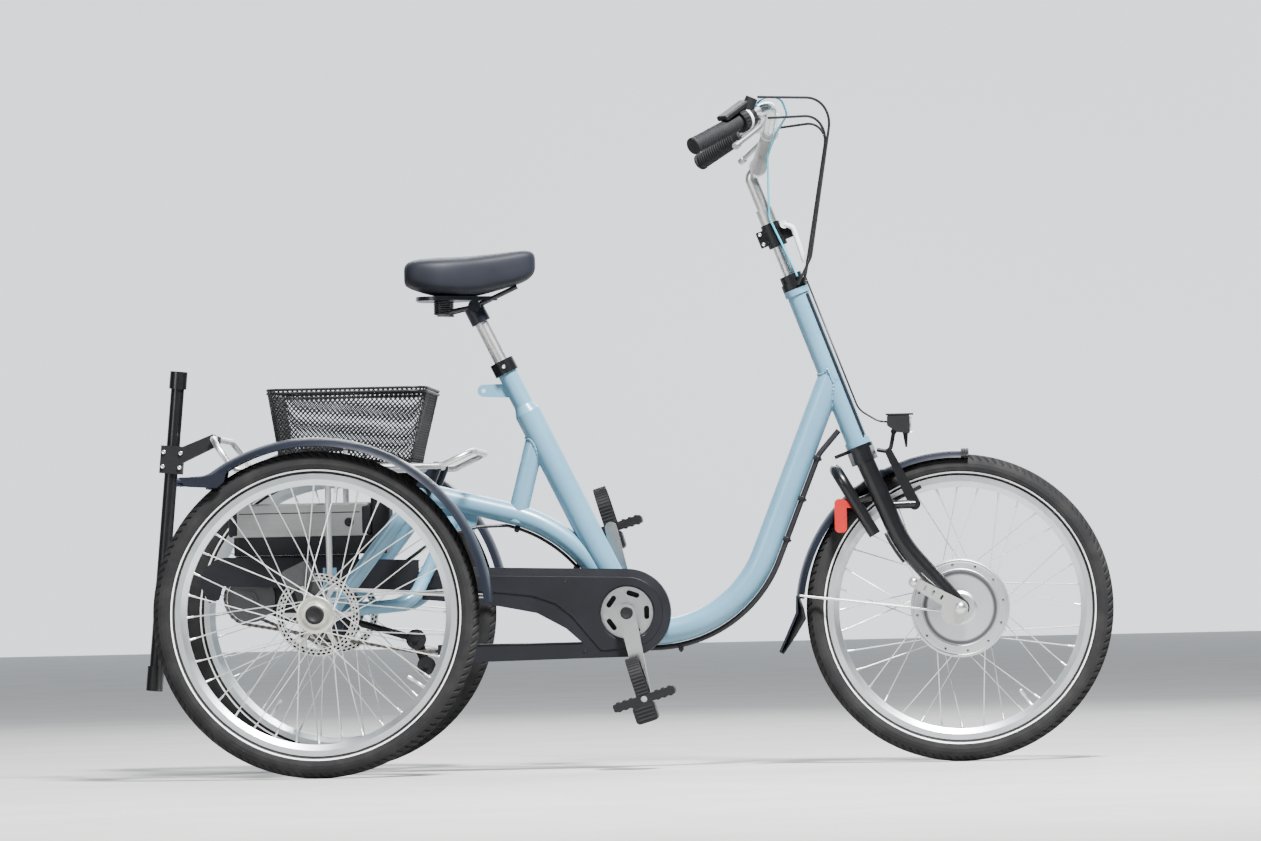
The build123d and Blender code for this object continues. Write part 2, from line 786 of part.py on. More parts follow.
# Pedals: a platform, a strap that arches over the foot and a weight that keeps it upright
tilt = radians(pedal_tilt)
pedal_ahead = Vector(cos(tilt), 0, sin(tilt))
strap_arch_up = strap_up - pedal_half_w
for side_name, side in sides:
    middle = pedal_spot(side, side * pedal_y)
    with BuildPart() as pedal:
        with BuildSketch(Plane(origin=middle, x_dir=pedal_ahead, z_dir=(0, -1, 0))):
            RectangleRounded(2 * pedal_half_l, pedal_t, 4)
            with Locations((-6, -pedal_t / 2 - weight_down / 2 + 4)):
                RectangleRounded(44, weight_down - 8, 8)
        extrude(amount=pedal_half_w, both=True)
        with BuildSketch(Plane(origin=middle, x_dir=(0, 1, 0), z_dir=pedal_ahead)):
            for half_w, mode in ((pedal_half_w, Mode.ADD), (pedal_half_w - strap_t, Mode.SUBTRACT)):
                with Locations((0, strap_arch_up / 2)):
                    Rectangle(2 * half_w, strap_arch_up, mode=mode)
                with Locations((0, strap_arch_up)):
                    Circle(half_w, mode=mode)
            with Locations((0, -pedal_half_w)):
                Rectangle(3 * pedal_half_w, 2 * pedal_half_w, mode=Mode.SUBTRACT)
        extrude(amount=strap_w / 2, both=True)
        rod(middle - Vector(0, 60, 0), middle + Vector(0, 60, 0), pedal_pin_r + running_gap, Mode.SUBTRACT)
    pedal.part.label = f"pedal_{side_name}"
    export_step(pedal.part, f"parts/pedal_{side_name}.step")


def guard_section(plane, half_w, skirt, thickness):
    """A mudguard's arched section; sketch Y points to the wheel."""
    with BuildSketch(plane) as section:
        with BuildLine():
            ThreePointArc((-half_w, skirt), (0, 0), (half_w, skirt))
            Line((half_w, skirt), (half_w - thickness, skirt))
            ThreePointArc((half_w - thickness, skirt), (0, thickness), (thickness - half_w, skirt))
            Line((thickness - half_w, skirt), (-half_w, skirt))
        make_face()
    return section.sketch


# Rear mudguards, each with a flared tab at its rear end
with BuildPart() as rear_guards:
    for side_name, side in sides:
        with BuildLine(side_plane(side * track / 2)) as guard_line:
            arc_size = fender_rear_angle - fender_front_angle
            crown = CenterArc((0, rear_tyre_r), fender_r, fender_front_angle, arc_size)
            flare = JernArc(crown @ 1, crown % 1, fender_flare_r, 94 - fender_rear_angle)
            Line(flare @ 1, (flare @ 1) + (flare % 1) * fender_tab_l)
        start = Plane(origin=guard_line.wire() @ 0, x_dir=(0, 1, 0), z_dir=guard_line.wire() % 0)
        section = guard_section(start, fender_w / 2, fender_skirt, fender_t)
        sweep(section, path=guard_line.wire())
rear_guards.part.label = "rear_guards"
export_step(rear_guards.part, "parts/rear_guards.step")

# Carrier: a closed loop of tube with raised ends, cross bars under the basket and a leg down each side
with BuildPart() as carrier:
    half_loop = (
        spot(303, 0, 624),
        spot(303, -carrier_y, 624),
        spot(carrier_front_x, -carrier_y, carrier_z),
        spot(carrier_back_x, -carrier_y, carrier_z),
        spot(-201, -carrier_y, 658),
        spot(-201, 0, 658),
    )
    bent_tube(half_loop, (40, carrier_bend, carrier_bend, 40), carrier_r)
    mirror(about=Plane.XZ)
    for bar_at in (-110, 20, 150, 225):
        cross_rod(bar_at, carrier_z, -carrier_y, carrier_y, carrier_bar_r)
    for side_name, side in sides:
        rod(spot(leg_x, side * leg_y, lug_top_z - 32), spot(leg_x, side * leg_y, carrier_z), carrier_r)
        with BuildSketch(side_plane(side * (housing_half_l + bearing_l / 2))):
            with Locations((leg_x, lug_top_z - 24)):
                Rectangle(4 * lug_half_w, 50)
        extrude(amount=lug_t / 2 + weld_gap, both=True, mode=Mode.SUBTRACT)
carrier.part.label = "carrier"
export_step(carrier.part, "parts/carrier.step")

# Brackets from the rear hoop up to the carrier's front cross bar
with BuildPart() as carrier_brackets:
    for side_name, side in sides:
        with BuildSketch(side_plane(side * 120)):
            with Locations((hoop_x, hoop_z)):
                Circle(hoop_r + 4)
            with Locations((225, carrier_z)):
                Circle(carrier_r + 4)
            make_hull()
        extrude(amount=10, both=True)
    cross_rod(hoop_x, hoop_z, -200, 200, hoop_r + weld_gap, Mode.SUBTRACT)
    cross_rod(225, carrier_z, -200, 200, carrier_bar_r + weld_gap, Mode.SUBTRACT)
carrier_brackets.part.label = "carrier_brackets"
export_step(carrier_brackets.part, "parts/carrier_brackets.step")

# Basket: a tapered tub of openwork with a rim, open above
basket_floor_z = carrier_z + carrier_bar_r + seat_gap
basket_top_l = basket_front_x - basket_back_x
basket_top_x = (basket_front_x + basket_back_x) / 2
with BuildPart() as basket:
    for shrink, floor_up, mode in ((0, 0, Mode.ADD), (basket_wall, basket_wall, Mode.SUBTRACT)):
        low_plane = Plane(origin=spot(basket_top_x - basket_taper, 0, basket_floor_z + floor_up))
        top_plane = Plane(origin=spot(basket_top_x, 0, basket_floor_z + basket_h + floor_up))
        with BuildSketch(low_plane):
            RectangleRounded(basket_top_l - 55 - 2 * shrink, 2 * basket_half_w - 40 - 2 * shrink, 24)
        with BuildSketch(top_plane):
            RectangleRounded(basket_top_l - 2 * shrink, 2 * basket_half_w - 2 * shrink, 34)
        loft(mode=mode)
    with BuildSketch(Plane(origin=spot(basket_top_x, 0, basket_floor_z + basket_h))):
        RectangleRounded(basket_top_l + 6, 2 * basket_half_w + 6, 37)
        inner_l = basket_top_l - 2 * basket_wall
        inner_w = 2 * basket_half_w - 2 * basket_wall
        RectangleRounded(inner_l, inner_w, 34, mode=Mode.SUBTRACT)
    extrude(amount=-10)
    cell_pitch = basket_cell + basket_bar
    grid_x = basket_top_x - basket_taper / 2
    grid_z = basket_floor_z + basket_wall + basket_bar + basket_rows * cell_pitch / 2
    with BuildSketch(side_plane(0)):
        with Locations((grid_x, grid_z)):
            with GridLocations(cell_pitch, cell_pitch, basket_cells_x, basket_rows):
                Rectangle(basket_cell, basket_cell)
    extrude(amount=track, both=True, mode=Mode.SUBTRACT)
    with BuildSketch(Plane(origin=spot(grid_x, 0, grid_z), x_dir=(0, 1, 0), z_dir=(1, 0, 0))):
        with GridLocations(cell_pitch, cell_pitch, basket_cells_y, basket_rows):
            Rectangle(basket_cell, basket_cell)
    extrude(amount=basket_top_l, both=True, mode=Mode.SUBTRACT)
    with BuildSketch(Plane(origin=spot(grid_x, 0, basket_floor_z))):
        with GridLocations(cell_pitch, cell_pitch, basket_cells_x, basket_cells_y):
            Rectangle(basket_cell, basket_cell)
    extrude(amount=2 * basket_wall, both=True, mode=Mode.SUBTRACT)
basket.part.label = "basket"
export_step(basket.part, "parts/basket.step")

# Battery, and the dock it slides into
battery_l = battery_front_x - battery_back_x
battery_x = (battery_front_x + battery_back_x) / 2
with BuildPart() as battery:
    with BuildSketch(Plane(origin=spot(battery_x, 0, battery_z + seat_gap))):
        RectangleRounded(battery_l - seat_gap, 2 * battery_half_w, 12)
    extrude(amount=battery_h - seat_gap)
    chamfer(battery.faces().sort_by(Axis.Z)[-1].edges(), 4)
battery.part.label = "battery"
export_step(battery.part, "parts/battery.step")

with BuildPart() as battery_dock:
    with BuildSketch(Plane(origin=spot(battery_x + 20, 0, dock_z + seat_gap))):
        RectangleRounded(battery_l + 22, 2 * battery_half_w + 6, 10)
    extrude(amount=battery_z - dock_z - seat_gap)
    with BuildSketch(Plane(origin=spot(battery_front_x + 19, 0, battery_z))):
        RectangleRounded(38, 2 * battery_half_w, 8)
    extrude(amount=battery_h + 8)
battery_dock.part.label = "battery_dock"
export_step(battery_dock.part, "parts/battery_dock.step")

# Stick holder: an open tube with a closed foot, clamped to the carrier's rear bar
with BuildPart() as stick_tube:
    rod(on_stick(0), on_stick(stick_l), stick_tube_r)
    rod(on_stick(0), on_stick(stick_cup_l), stick_cup_r)
    rod(on_stick(stick_l - 34), on_stick(stick_l), stick_cup_r)
    rod(on_stick(stick_floor_t), on_stick(stick_l), stick_bore_r, Mode.SUBTRACT)
stick_tube.part.label = "stick_tube"
export_step(stick_tube.part, "parts/stick_tube.step")

clamp_at = on_stick(stick_clamp_up)
with BuildPart() as stick_clamp:
    with BuildSketch(side_plane(stick_y)):
        with Locations((clamp_at.X - rear_x, clamp_at.Z)):
            Rectangle(44, stick_clamp_l, rotation=-stick_lean)
        with BuildLine():
            Polyline(
                (clamp_at.X - rear_x, 636),
                (-206, 668),
                (-192, 662),
                (-194, 647),
                (clamp_at.X - rear_x, 604),
                close=True,
            )
        make_face()
    extrude(amount=17, both=True)
    rod(on_stick(0), on_stick(stick_l), stick_tube_r + weld_gap, Mode.SUBTRACT)
    cross_rod(-201, 658, stick_y - 50, stick_y + 50, carrier_r + weld_gap, Mode.SUBTRACT)
stick_clamp.part.label = "stick_clamp"
export_step(stick_clamp.part, "parts/stick_clamp.step")

# Rods that hold the rear mudguards: one to the front end, one from the carrier to the crown
guard_edge_y = track / 2 - fender_w / 2
guard_edge_r = fender_r - fender_skirt
lug_rod_y = housing_half_l + bearing_l / 2 + lug_t / 2 + seat_gap + guard_rod_r
guard_rod_x = 60
guard_rod_z = rear_tyre_r + (guard_edge_r**2 - guard_rod_x**2) ** 0.5
with BuildPart() as guard_rods:
    for side_name, side in sides:
        front_end = spot(guard_edge_r - 1, side * (guard_edge_y - seat_gap - guard_rod_r), rear_tyre_r + 29)
        low_z = lug_top_z - 42
        rod_foot = spot(leg_x - 8, side * lug_rod_y, low_z)
        rod_turn = spot(leg_x + 20, side * lug_rod_y, low_z)
        bent_tube((rod_foot, rod_turn, front_end), 40, guard_rod_r)
        low_end = spot(guard_rod_x, side * carrier_y, carrier_z)
        crown_edge = spot(guard_rod_x, side * guard_edge_y, guard_rod_z)
        rod(low_end, crown_edge - (crown_edge - low_end).normalized() * seat_gap, guard_rod_r)
        rail_back = spot(carrier_back_x, side * carrier_y, carrier_z)
        rail_front = spot(carrier_front_x, side * carrier_y, carrier_z)
        rod(rail_back, rail_front, carrier_r + weld_gap, Mode.SUBTRACT)
guard_rods.part.label = "guard_rods"
export_step(guard_rods.part, "parts/guard_rods.step")

# Rear brake calipers on brackets beside the bearings
with BuildPart() as calipers:
    for side_name, side in sides:
        rotor_y = side * (track / 2 - rotor_in)
        with BuildSketch(side_plane(rotor_y - side * 5)):
            with Locations((caliper_x, caliper_z)):
                RectangleRounded(58, 42, 9, rotation=25)
        extrude(amount=16, both=True)
        with BuildSketch(side_plane(rotor_y)):
            with Locations((0, rear_tyre_r)):
                Circle(rotor_r + 4)
        extrude(amount=rotor_t / 2 + 1.5, both=True, mode=Mode.SUBTRACT)
        with BuildSketch(side_plane(side * (housing_half_l + bearing_l + weld_gap + 4.2))):
            with Locations((0, rear_tyre_r)):
                Circle(bearing_r)
            with Locations((caliper_x, caliper_z)):
                Circle(20)
            make_hull()
            with Locations((0, rear_tyre_r)):
                Circle(axle_shaft_r + 6, mode=Mode.SUBTRACT)
        extrude(amount=4.2, both=True)
calipers.part.label = "calipers"
export_step(calipers.part, "parts/calipers.step")

# Seat collar and seat post
with BuildPart() as seat_collar:
    rod(on_seat(seat_tube_l - 26), on_seat(seat_tube_l), seat_high_r + 5)
    rod(on_seat(seat_tube_l - 30), on_seat(seat_tube_l), seat_high_r + weld_gap, Mode.SUBTRACT)
seat_collar.part.label = "seat_collar"
export_step(seat_collar.part, "parts/seat_collar.step")

with BuildPart() as seat_post:
    rod(on_seat(seat_tube_l - seat_post_depth + seat_gap), on_seat(seat_post_top), seat_post_r)
seat_post.part.label = "seat_post"
export_step(seat_post.part, "parts/seat_post.step")

# Saddle frame: clamp on the post, rails and two springs under a base plate
saddle_at = on_seat(seat_post_top)
saddle_plate_z = 16
saddle_plate_t = 8
spring_x = -60
spring_y = 52
spring_r = 16
spring_foot_z = -12


def saddle_spot(x, y, z):
    """A point counted from the seat post's top."""
    return saddle_at + Vector(x, y, z)


with BuildPart() as saddle_frame:
    rod(on_seat(seat_post_top - 30), on_seat(seat_post_top + 6), seat_post_r + 6)
    rod(on_seat(seat_post_top - 40), on_seat(seat_post_top + seat_gap), seat_post_r + weld_gap, Mode.SUBTRACT)
    rod(saddle_spot(1, -34, 5), saddle_spot(1, 34, 5), 12)
    for side_name, side in sides:
        rod(saddle_spot(0, side * 24, 4), saddle_spot(84, side * 14, 42), 4)
        rod(saddle_spot(0, side * 24, 4), saddle_spot(spring_x, side * spring_y, spring_foot_z + 4), 4)
        foot = saddle_spot(spring_x, side * spring_y, spring_foot_z)
        rod(foot, saddle_spot(spring_x, side * spring_y, saddle_plate_z + 1), spring_r)
    with BuildSketch(Plane(origin=saddle_spot(0, 0, saddle_plate_z))):
        with Locations((spring_x - 6, -46), (spring_x - 6, 46)):
            Circle(46)
        with Locations((22, 0)):
            Circle(24)
        make_hull()
    extrude(amount=saddle_plate_t)
    rod(on_seat(seat_post_top - 40), on_seat(seat_post_top), seat_post_r + weld_gap, Mode.SUBTRACT)
saddle_frame.part.label = "saddle_frame"
export_step(saddle_frame.part, "parts/saddle_frame.step")

# Saddle: a broad pad, cut to its side outline and rounded above
saddle_foot_z = saddle_plate_z + saddle_plate_t + seat_gap
with BuildPart() as saddle:
    with BuildSketch(Plane(origin=saddle_spot(0, 0, 0))):
        with Locations((-72, -58), (-72, 58)):
            Circle(62)
        with Locations((87, 0)):
            Circle(34)
        make_hull()
    extrude(amount=150)
    with BuildSketch(Plane(origin=saddle_at, x_dir=(1, 0, 0), z_dir=(0, -1, 0))):
        with BuildLine():
            Polyline(
                (108, 114),
                (122, 84),
                (105, 58),
                (43, 35),
                (-4, saddle_foot_z),
                (-74, saddle_foot_z),
                (-135, 46),
                (-122, 96),
            )
            ThreePointArc((-122, 96), (-5, 103.5), (108, 114))
        make_face()
    extrude(amount=200, both=True, mode=Mode.INTERSECT)
    fillet(saddle.faces().sort_by(Axis.Z)[-1].edges(), 9)
saddle.part.label = "saddle"
export_step(saddle.part, "parts/saddle.step")

steer_up = on_steer(1) - on_steer(0)


def steer_plane(up):
    """A plane square to the steering axis: sketch X runs to the left."""
    return Plane(origin=on_steer(up), x_dir=(0, 1, 0), z_dir=steer_up)


def fork_leg_points(side):
    return (
        on_steer(-crown_drop, side * leg_side_y),
        spot(fork_corner_x, side * leg_side_y, fork_corner_z),
        spot(wheelbase - 6, side * leg_side_y, front_tyre_r + 7),
    )


# Fork: steerer, crown, two curved legs and their dropouts
steerer_top = head_l + 20
crown_top = -lower_plate_t - 2 * steer_limit_gap
with BuildPart() as fork:
    rod(on_steer(crown_top - crown_t), on_steer(steerer_top), steerer_r)
    with BuildSketch(steer_plane(crown_top)):
        with Locations((-leg_side_y, 0), (leg_side_y, 0)):
            Circle(fork_leg_r + 2)
        Circle(27)
        make_hull()
    extrude(amount=-crown_t)
    for side_name, side in sides:
        bent_tube(fork_leg_points(side), fork_bend, fork_leg_r)
        with BuildSketch(side_plane(side * leg_side_y)):
            with Locations((wheelbase, front_tyre_r)):
                Circle(18)
            with Locations((wheelbase - 26, front_tyre_r + 28)):
                Circle(14)
            make_hull()
        extrude(amount=4, both=True)
    hole_half_l = front_axle_half_l + fork_leg_r
    cross_rod(wheelbase, front_tyre_r, -hole_half_l, hole_half_l, front_axle_r + weld_gap, Mode.SUBTRACT)
fork.part.label = "fork"
export_step(fork.part, "parts/fork.step")

# Front axle with its nuts and torque plates
with BuildPart() as front_axle:
    cross_rod(wheelbase, front_tyre_r, -front_axle_half_l, front_axle_half_l, front_axle_r)
    for side_name, side in sides:
        plate_y = side * (leg_side_y + fork_leg_r + weld_gap)
        with BuildSketch(side_plane(plate_y + side * 1.5)):
            with Locations((wheelbase, front_tyre_r)):
                Circle(15)
            with Locations((wheelbase + torque_arm_x, front_tyre_r + torque_arm_z)):
                Circle(10)
            make_hull()
            with Locations((wheelbase - 12, front_tyre_r - 8)):
                Circle(26)
            arm_turn = degrees(atan2(torque_arm_z, torque_arm_x))
            for share in (0.4, 0.58, 0.76):
                with Locations((wheelbase + share * torque_arm_x, front_tyre_r + share * torque_arm_z)):
                    SlotOverall(11, 4.5, rotation=arm_turn + 90, mode=Mode.SUBTRACT)
        extrude(amount=1.5, both=True)
        with BuildSketch(side_plane(plate_y + side * 7)):
            with Locations((wheelbase, front_tyre_r)):
                RegularPolygon(12, 6)
        extrude(amount=4.2, both=True)
front_axle.part.label = "front_axle"
export_step(front_axle.part, "parts/front_axle.step")

# Rings that close the steering head: a lower plate with an arm that points back, and a stepped ring above
with BuildPart() as head_rings:
    with BuildSketch(steer_plane(-steer_limit_gap)):
        Circle(head_cup_r + 2)
        with Locations((0, 30)):
            RectangleRounded(16, 44, 7)
        Circle(steerer_r + weld_gap, mode=Mode.SUBTRACT)
    extrude(amount=-lower_plate_t)
    rod(on_steer(head_l + steer_limit_gap), on_steer(head_l + 14), head_cup_r)
    rod(on_steer(head_l + 14), on_steer(head_l + top_ring_l), head_cup_r - 3)
    rod(on_steer(head_l), on_steer(steerer_top + seat_gap), steerer_r + weld_gap, Mode.SUBTRACT)
    rod(on_steer(head_l), on_steer(head_l + top_ring_l), column_r + weld_gap, Mode.SUBTRACT)
head_rings.part.label = "head_rings"
export_step(head_rings.part, "parts/head_rings.step")

# Column: the tube between the head and the stem, and the quick lever of its clamp
with BuildPart() as column:
    rod(on_steer(steerer_top + seat_gap), on_steer(column_top), column_r)
column.part.label = "column"
export_step(column.part, "parts/column.step")

clamp_low = column_clamp_at - column_clamp_l / 2
clamp_high = column_clamp_at + column_clamp_l / 2
with BuildPart() as column_clamp:
    rod(on_steer(clamp_low), on_steer(clamp_high), column_clamp_r)
    with BuildSketch(steer_plane(clamp_low + 8)):
        with Locations((0, -22), (0, 20)):
            RectangleRounded(22, 26, 4)
    extrude(amount=column_clamp_l - 16)
    rod(on_steer(clamp_low), on_steer(clamp_high), column_r + weld_gap, Mode.SUBTRACT)
column_clamp.part.label = "column_clamp"
export_step(column_clamp.part, "parts/column_clamp.step")

with BuildPart() as quick_lever:
    bent_tube(
        (
            on_steer(clamp_high - 12, -17, 26),
            on_steer(clamp_high - 24, -17, 40),
            on_steer(clamp_low - 48, -17, 36),
        ),
        12,
        5,
    )
    rod(on_steer(clamp_high - 12, -20, 26), on_steer(clamp_high - 12, -11.2, 26), 8)
quick_lever.part.label = "quick_lever"
export_step(quick_lever.part, "parts/quick_lever.step")

# Stem: a neck on the column, a pivot and a link up to the handlebar clamp
with BuildPart() as stem:
    rod(on_steer(clamp_high + weld_gap), on_steer(column_top + 8), column_r + 4)
    neck_points = (on_steer(column_top + 2), spot(wheelbase - 391, 0, 1150), spot(stem_pivot_x, 0, stem_pivot_z))
    bent_tube(neck_points, 12, column_r)
    cross_rod(stem_pivot_x, stem_pivot_z, -24, 24, 17)
    with BuildSketch(side_plane(0)):
        with Locations((stem_pivot_x, stem_pivot_z)):
            Circle(14)
        with Locations((bar_x, bar_z)):
            Circle(13)
        make_hull()
    extrude(amount=16, both=True)
    cross_rod(bar_x, bar_z, -25, 25, 19)
    rod(on_steer(clamp_low), on_steer(column_top + seat_gap), column_r + weld_gap, Mode.SUBTRACT)
    cross_rod(bar_x, bar_z, -30, 30, bar_r + weld_gap, Mode.SUBTRACT)
stem.part.label = "stem"
export_step(stem.part, "parts/stem.step")

# Handlebar: out from the clamp, up, and swept back to the grips
bar_bends = (50, 45)
bar_elbow_x = wheelbase - 344
bar_elbow_y = 148
bar_elbow_z = 1285
bar_end_x = wheelbase - 496
bar_end_y = 300
bar_end_z = 1198


def on_bar(side, inward):
    """A point on a handlebar end, counted in along the grip from its tip."""
    tip = spot(bar_end_x, side * bar_end_y, bar_end_z)
    elbow = spot(bar_elbow_x, side * bar_elbow_y, bar_elbow_z)
    return tip + (elbow - tip).normalized() * inward


with BuildPart() as handlebar:
    half_bar = (
        spot(bar_x, 0, bar_z),
        spot(bar_x, -62, bar_z),
        spot(bar_elbow_x, -bar_elbow_y, bar_elbow_z),
        on_bar(-1, 4),
    )
    bent_tube(half_bar, bar_bends, bar_r)
    mirror(about=Plane.XZ)
handlebar.part.label = "handlebar"
export_step(handlebar.part, "parts/handlebar.step")

with BuildPart() as grips:
    for side_name, side in sides:
        rod(on_bar(side, 0), on_bar(side, grip_l), grip_r)
        rod(on_bar(side, 4 - seat_gap), on_bar(side, grip_l), bar_r + weld_gap, Mode.SUBTRACT)
grips.part.label = "grips"
export_step(grips.part, "parts/grips.step")

# Twist shifter on the right grip's inner end
lever_clamp_in = grip_l + 36
lever_clamp_r = 16
hood_top = on_bar(-1, grip_l + 14) + Vector(18, 0, 42)
with BuildPart() as shifter:
    rod(on_bar(-1, grip_l + 0.5), on_bar(-1, grip_l + 34), 22)
    rod(on_bar(-1, grip_l + 14), hood_top, 12)
    rod(on_bar(-1, lever_clamp_in - seat_gap), on_bar(-1, grip_l + 90), lever_clamp_r + seat_gap, Mode.SUBTRACT)
    rod(on_bar(-1, grip_l - 20), on_bar(-1, grip_l + 60), bar_r + weld_gap, Mode.SUBTRACT)
shifter.part.label = "shifter"
export_step(shifter.part, "parts/shifter.step")

# Brake levers in front of the grips
with BuildPart() as brake_levers:
    for side_name, side in sides:
        rod(on_bar(side, lever_clamp_in), on_bar(side, lever_clamp_in + 18), lever_clamp_r)
        body = on_bar(side, lever_clamp_in + 9) + Vector(20, side * 14, -10)
        rod(on_bar(side, lever_clamp_in + 9) + Vector(8, side * 6, -4), body, 9)
        lever = (body, spot(wheelbase - 365, side * 232, 1238), spot(wheelbase - 413, side * 290, 1198))
        bent_tube(lever, 60, 5)
        rod(spot(wheelbase - 408, side * 284, 1202), spot(wheelbase - 415, side * 292.4, 1196.4), 7)
        hole_end = on_bar(side, lever_clamp_in + 30)
        rod(on_bar(side, lever_clamp_in - 40), hole_end, bar_r + weld_gap, Mode.SUBTRACT)
brake_levers.part.label = "brake_levers"
export_step(brake_levers.part, "parts/brake_levers.step")

# Front mudguard with its flap, and the stays that hold it
guard_front = (wheelbase + 23, 608)
guard_middle = (wheelbase - 222.3, 522.3)
flap_x = wheelbase - 320
guard_rear = (wheelbase - 320, 325)
with BuildPart() as front_guard:
    with BuildLine(side_plane(0)) as front_line:
        ThreePointArc(guard_front, guard_middle, guard_rear)
    front_start = Plane(origin=front_line.wire() @ 0, x_dir=(0, 1, 0), z_dir=front_line.wire() % 0)
    sweep(guard_section(front_start, guard_half_w, guard_skirt, guard_t), path=front_line.wire())
    with BuildSketch(side_plane(0)):
        with BuildLine():
            Polyline(
                (flap_x, 330),
                (flap_x + 3, 330),
                (flap_x + 4, 296),
                (flap_x - 31, 219),
                (flap_x - 35, 221),
                (flap_x - 1, 297),
                close=True,
            )
        make_face()
    extrude(amount=guard_half_w, both=True)
    rod(spot(wheelbase - 159, 0, 558), spot(wheelbase - 175, 0, 584), 8)
    rod(on_steer(crown_top - crown_t - weld_gap), on_steer(crown_top + 40), 40, Mode.SUBTRACT)
front_guard.part.label = "front_guard"
export_step(front_guard.part, "parts/front_guard.step")

with BuildPart() as guard_stays:
    for side_name, side in sides:
        rod(spot(wheelbase - 15, side * 71, 292), spot(wheelbase - 312, side * 31.6, 330), 2.5)
        rod(spot(wheelbase - 15, side * 64.2, 292), spot(wheelbase - 15, side * 73, 292), 5)
guard_stays.part.label = "guard_stays"
export_step(guard_stays.part, "parts/guard_stays.step")

# Rim brake: an arm, a pivot and a pad on each side
with BuildPart() as rim_brake:
    for side_name, side in sides:
        with BuildSketch(side_plane(side * 50)):
            with Locations((wheelbase - 84, 504)):
                Circle(11)
            with Locations((wheelbase - 101, 540)):
                Circle(10)
            make_hull()
        extrude(amount=5, both=True)
        with BuildSketch(side_plane(side * 50)):
            with Locations((wheelbase - 101, 540)):
                Circle(10)
            with Locations((wheelbase - 132, 606)):
                Circle(7)
            make_hull()
        extrude(amount=5, both=True)
        rod(spot(wheelbase - 84, side * 50, 504), spot(wheelbase - 139, side * 57, 503), 8)
        rod(spot(wheelbase - 98, side * 50, 526), spot(wheelbase - 98, side * 24, 526), 5)
        rod(spot(wheelbase - 125, side * 20.5, 512), spot(wheelbase - 71, side * 20.5, 538), 4)
        bent_tube(fork_leg_points(side), fork_bend, fork_leg_r + weld_gap, Mode.SUBTRACT)
rim_brake.part.label = "rim_brake"
export_step(rim_brake.part, "parts/rim_brake.step")

# Ring lock behind the fork legs, with its key
with BuildPart() as ring_lock:
    lock_points = (
        spot(wheelbase - 163, -lock_y, 446),
        spot(wheelbase - 237, -lock_y, 574),
        spot(wheelbase - 237, lock_y, 574),
        spot(wheelbase - 163, lock_y, 446),
    )
    bent_tube(lock_points, 40, lock_r)
    for side_name, side in sides:
        rod(spot(wheelbase - 200, side * lock_y, 510), spot(wheelbase - 149, side * 58, 526), 7)
        bent_tube(fork_leg_points(side), fork_bend, fork_leg_r + weld_gap, Mode.SUBTRACT)
ring_lock.part.label = "ring_lock"
export_step(ring_lock.part, "parts/ring_lock.step")

with BuildPart() as lock_key:
    with BuildSketch(side_plane(-lock_y)):
        with Locations((wheelbase - 229, 484)):
            RectangleRounded(24, 66, 9)
        with Locations((wheelbase - 215, 506)):
            Rectangle(24, 14)
    extrude(amount=4, both=True)
    rod(lock_points[0], lock_points[1], lock_r + weld_gap, Mode.SUBTRACT)
lock_key.part.label = "lock_key"
export_step(lock_key.part, "parts/lock_key.step")

# Headlamp on a bracket from the fork crown
lamp_half_w = 21
lens_t = 4


def lamp_spot(x, y, z):
    """A point counted from the lamp's middle."""
    return spot(lamp_x + x, y, lamp_z + z)


with BuildPart() as headlamp:
    with BuildSketch(Plane(origin=lamp_spot(0, 0, 0), x_dir=(1, 0, 0), z_dir=(0, -1, 0))):
        with BuildLine():
            Polyline((-25, 16), (-25, -4), (-6, -17), (20 - weld_gap, -21), (20 - weld_gap, 16), close=True)
        make_face()
    extrude(amount=lamp_half_w, both=True)
    fillet(headlamp.edges().filter_by(Axis.Y), 4)
    with BuildSketch(Plane(origin=lamp_spot(0, 0, 16))):
        RectangleRounded(54, 2 * lamp_half_w + 2, 6)
    extrude(amount=3)
    with BuildSketch(Plane(origin=lamp_spot(0, 0, 0), x_dir=(1, 0, 0), z_dir=(0, -1, 0))):
        with BuildLine():
            Polyline((5, -16), (16, -16), (14, -47), (10, -47), close=True)
        make_face()
    extrude(amount=8, both=True)
    rod(lamp_spot(-12, -9, -16), lamp_spot(-12, 9, -16), 6)
    bent_tube((on_steer(crown_top - 12, 0, 30), lamp_spot(-20, 0, -56), lamp_spot(-12, 0, -16)), 12, 4)
    rod(on_steer(crown_top - 60), on_steer(crown_top + 60), 27 + weld_gap, Mode.SUBTRACT)
headlamp.part.label = "headlamp"
export_step(headlamp.part, "parts/headlamp.step")

with BuildPart() as lamp_lens:
    with BuildSketch(Plane(origin=lamp_spot(20, 0, -3), x_dir=(0, 1, 0), z_dir=(1, 0, 0))):
        RectangleRounded(2 * lamp_half_w - 4, 32, 5)
    extrude(amount=lens_t)
lamp_lens.part.label = "lamp_lens"
export_step(lamp_lens.part, "parts/lamp_lens.step")

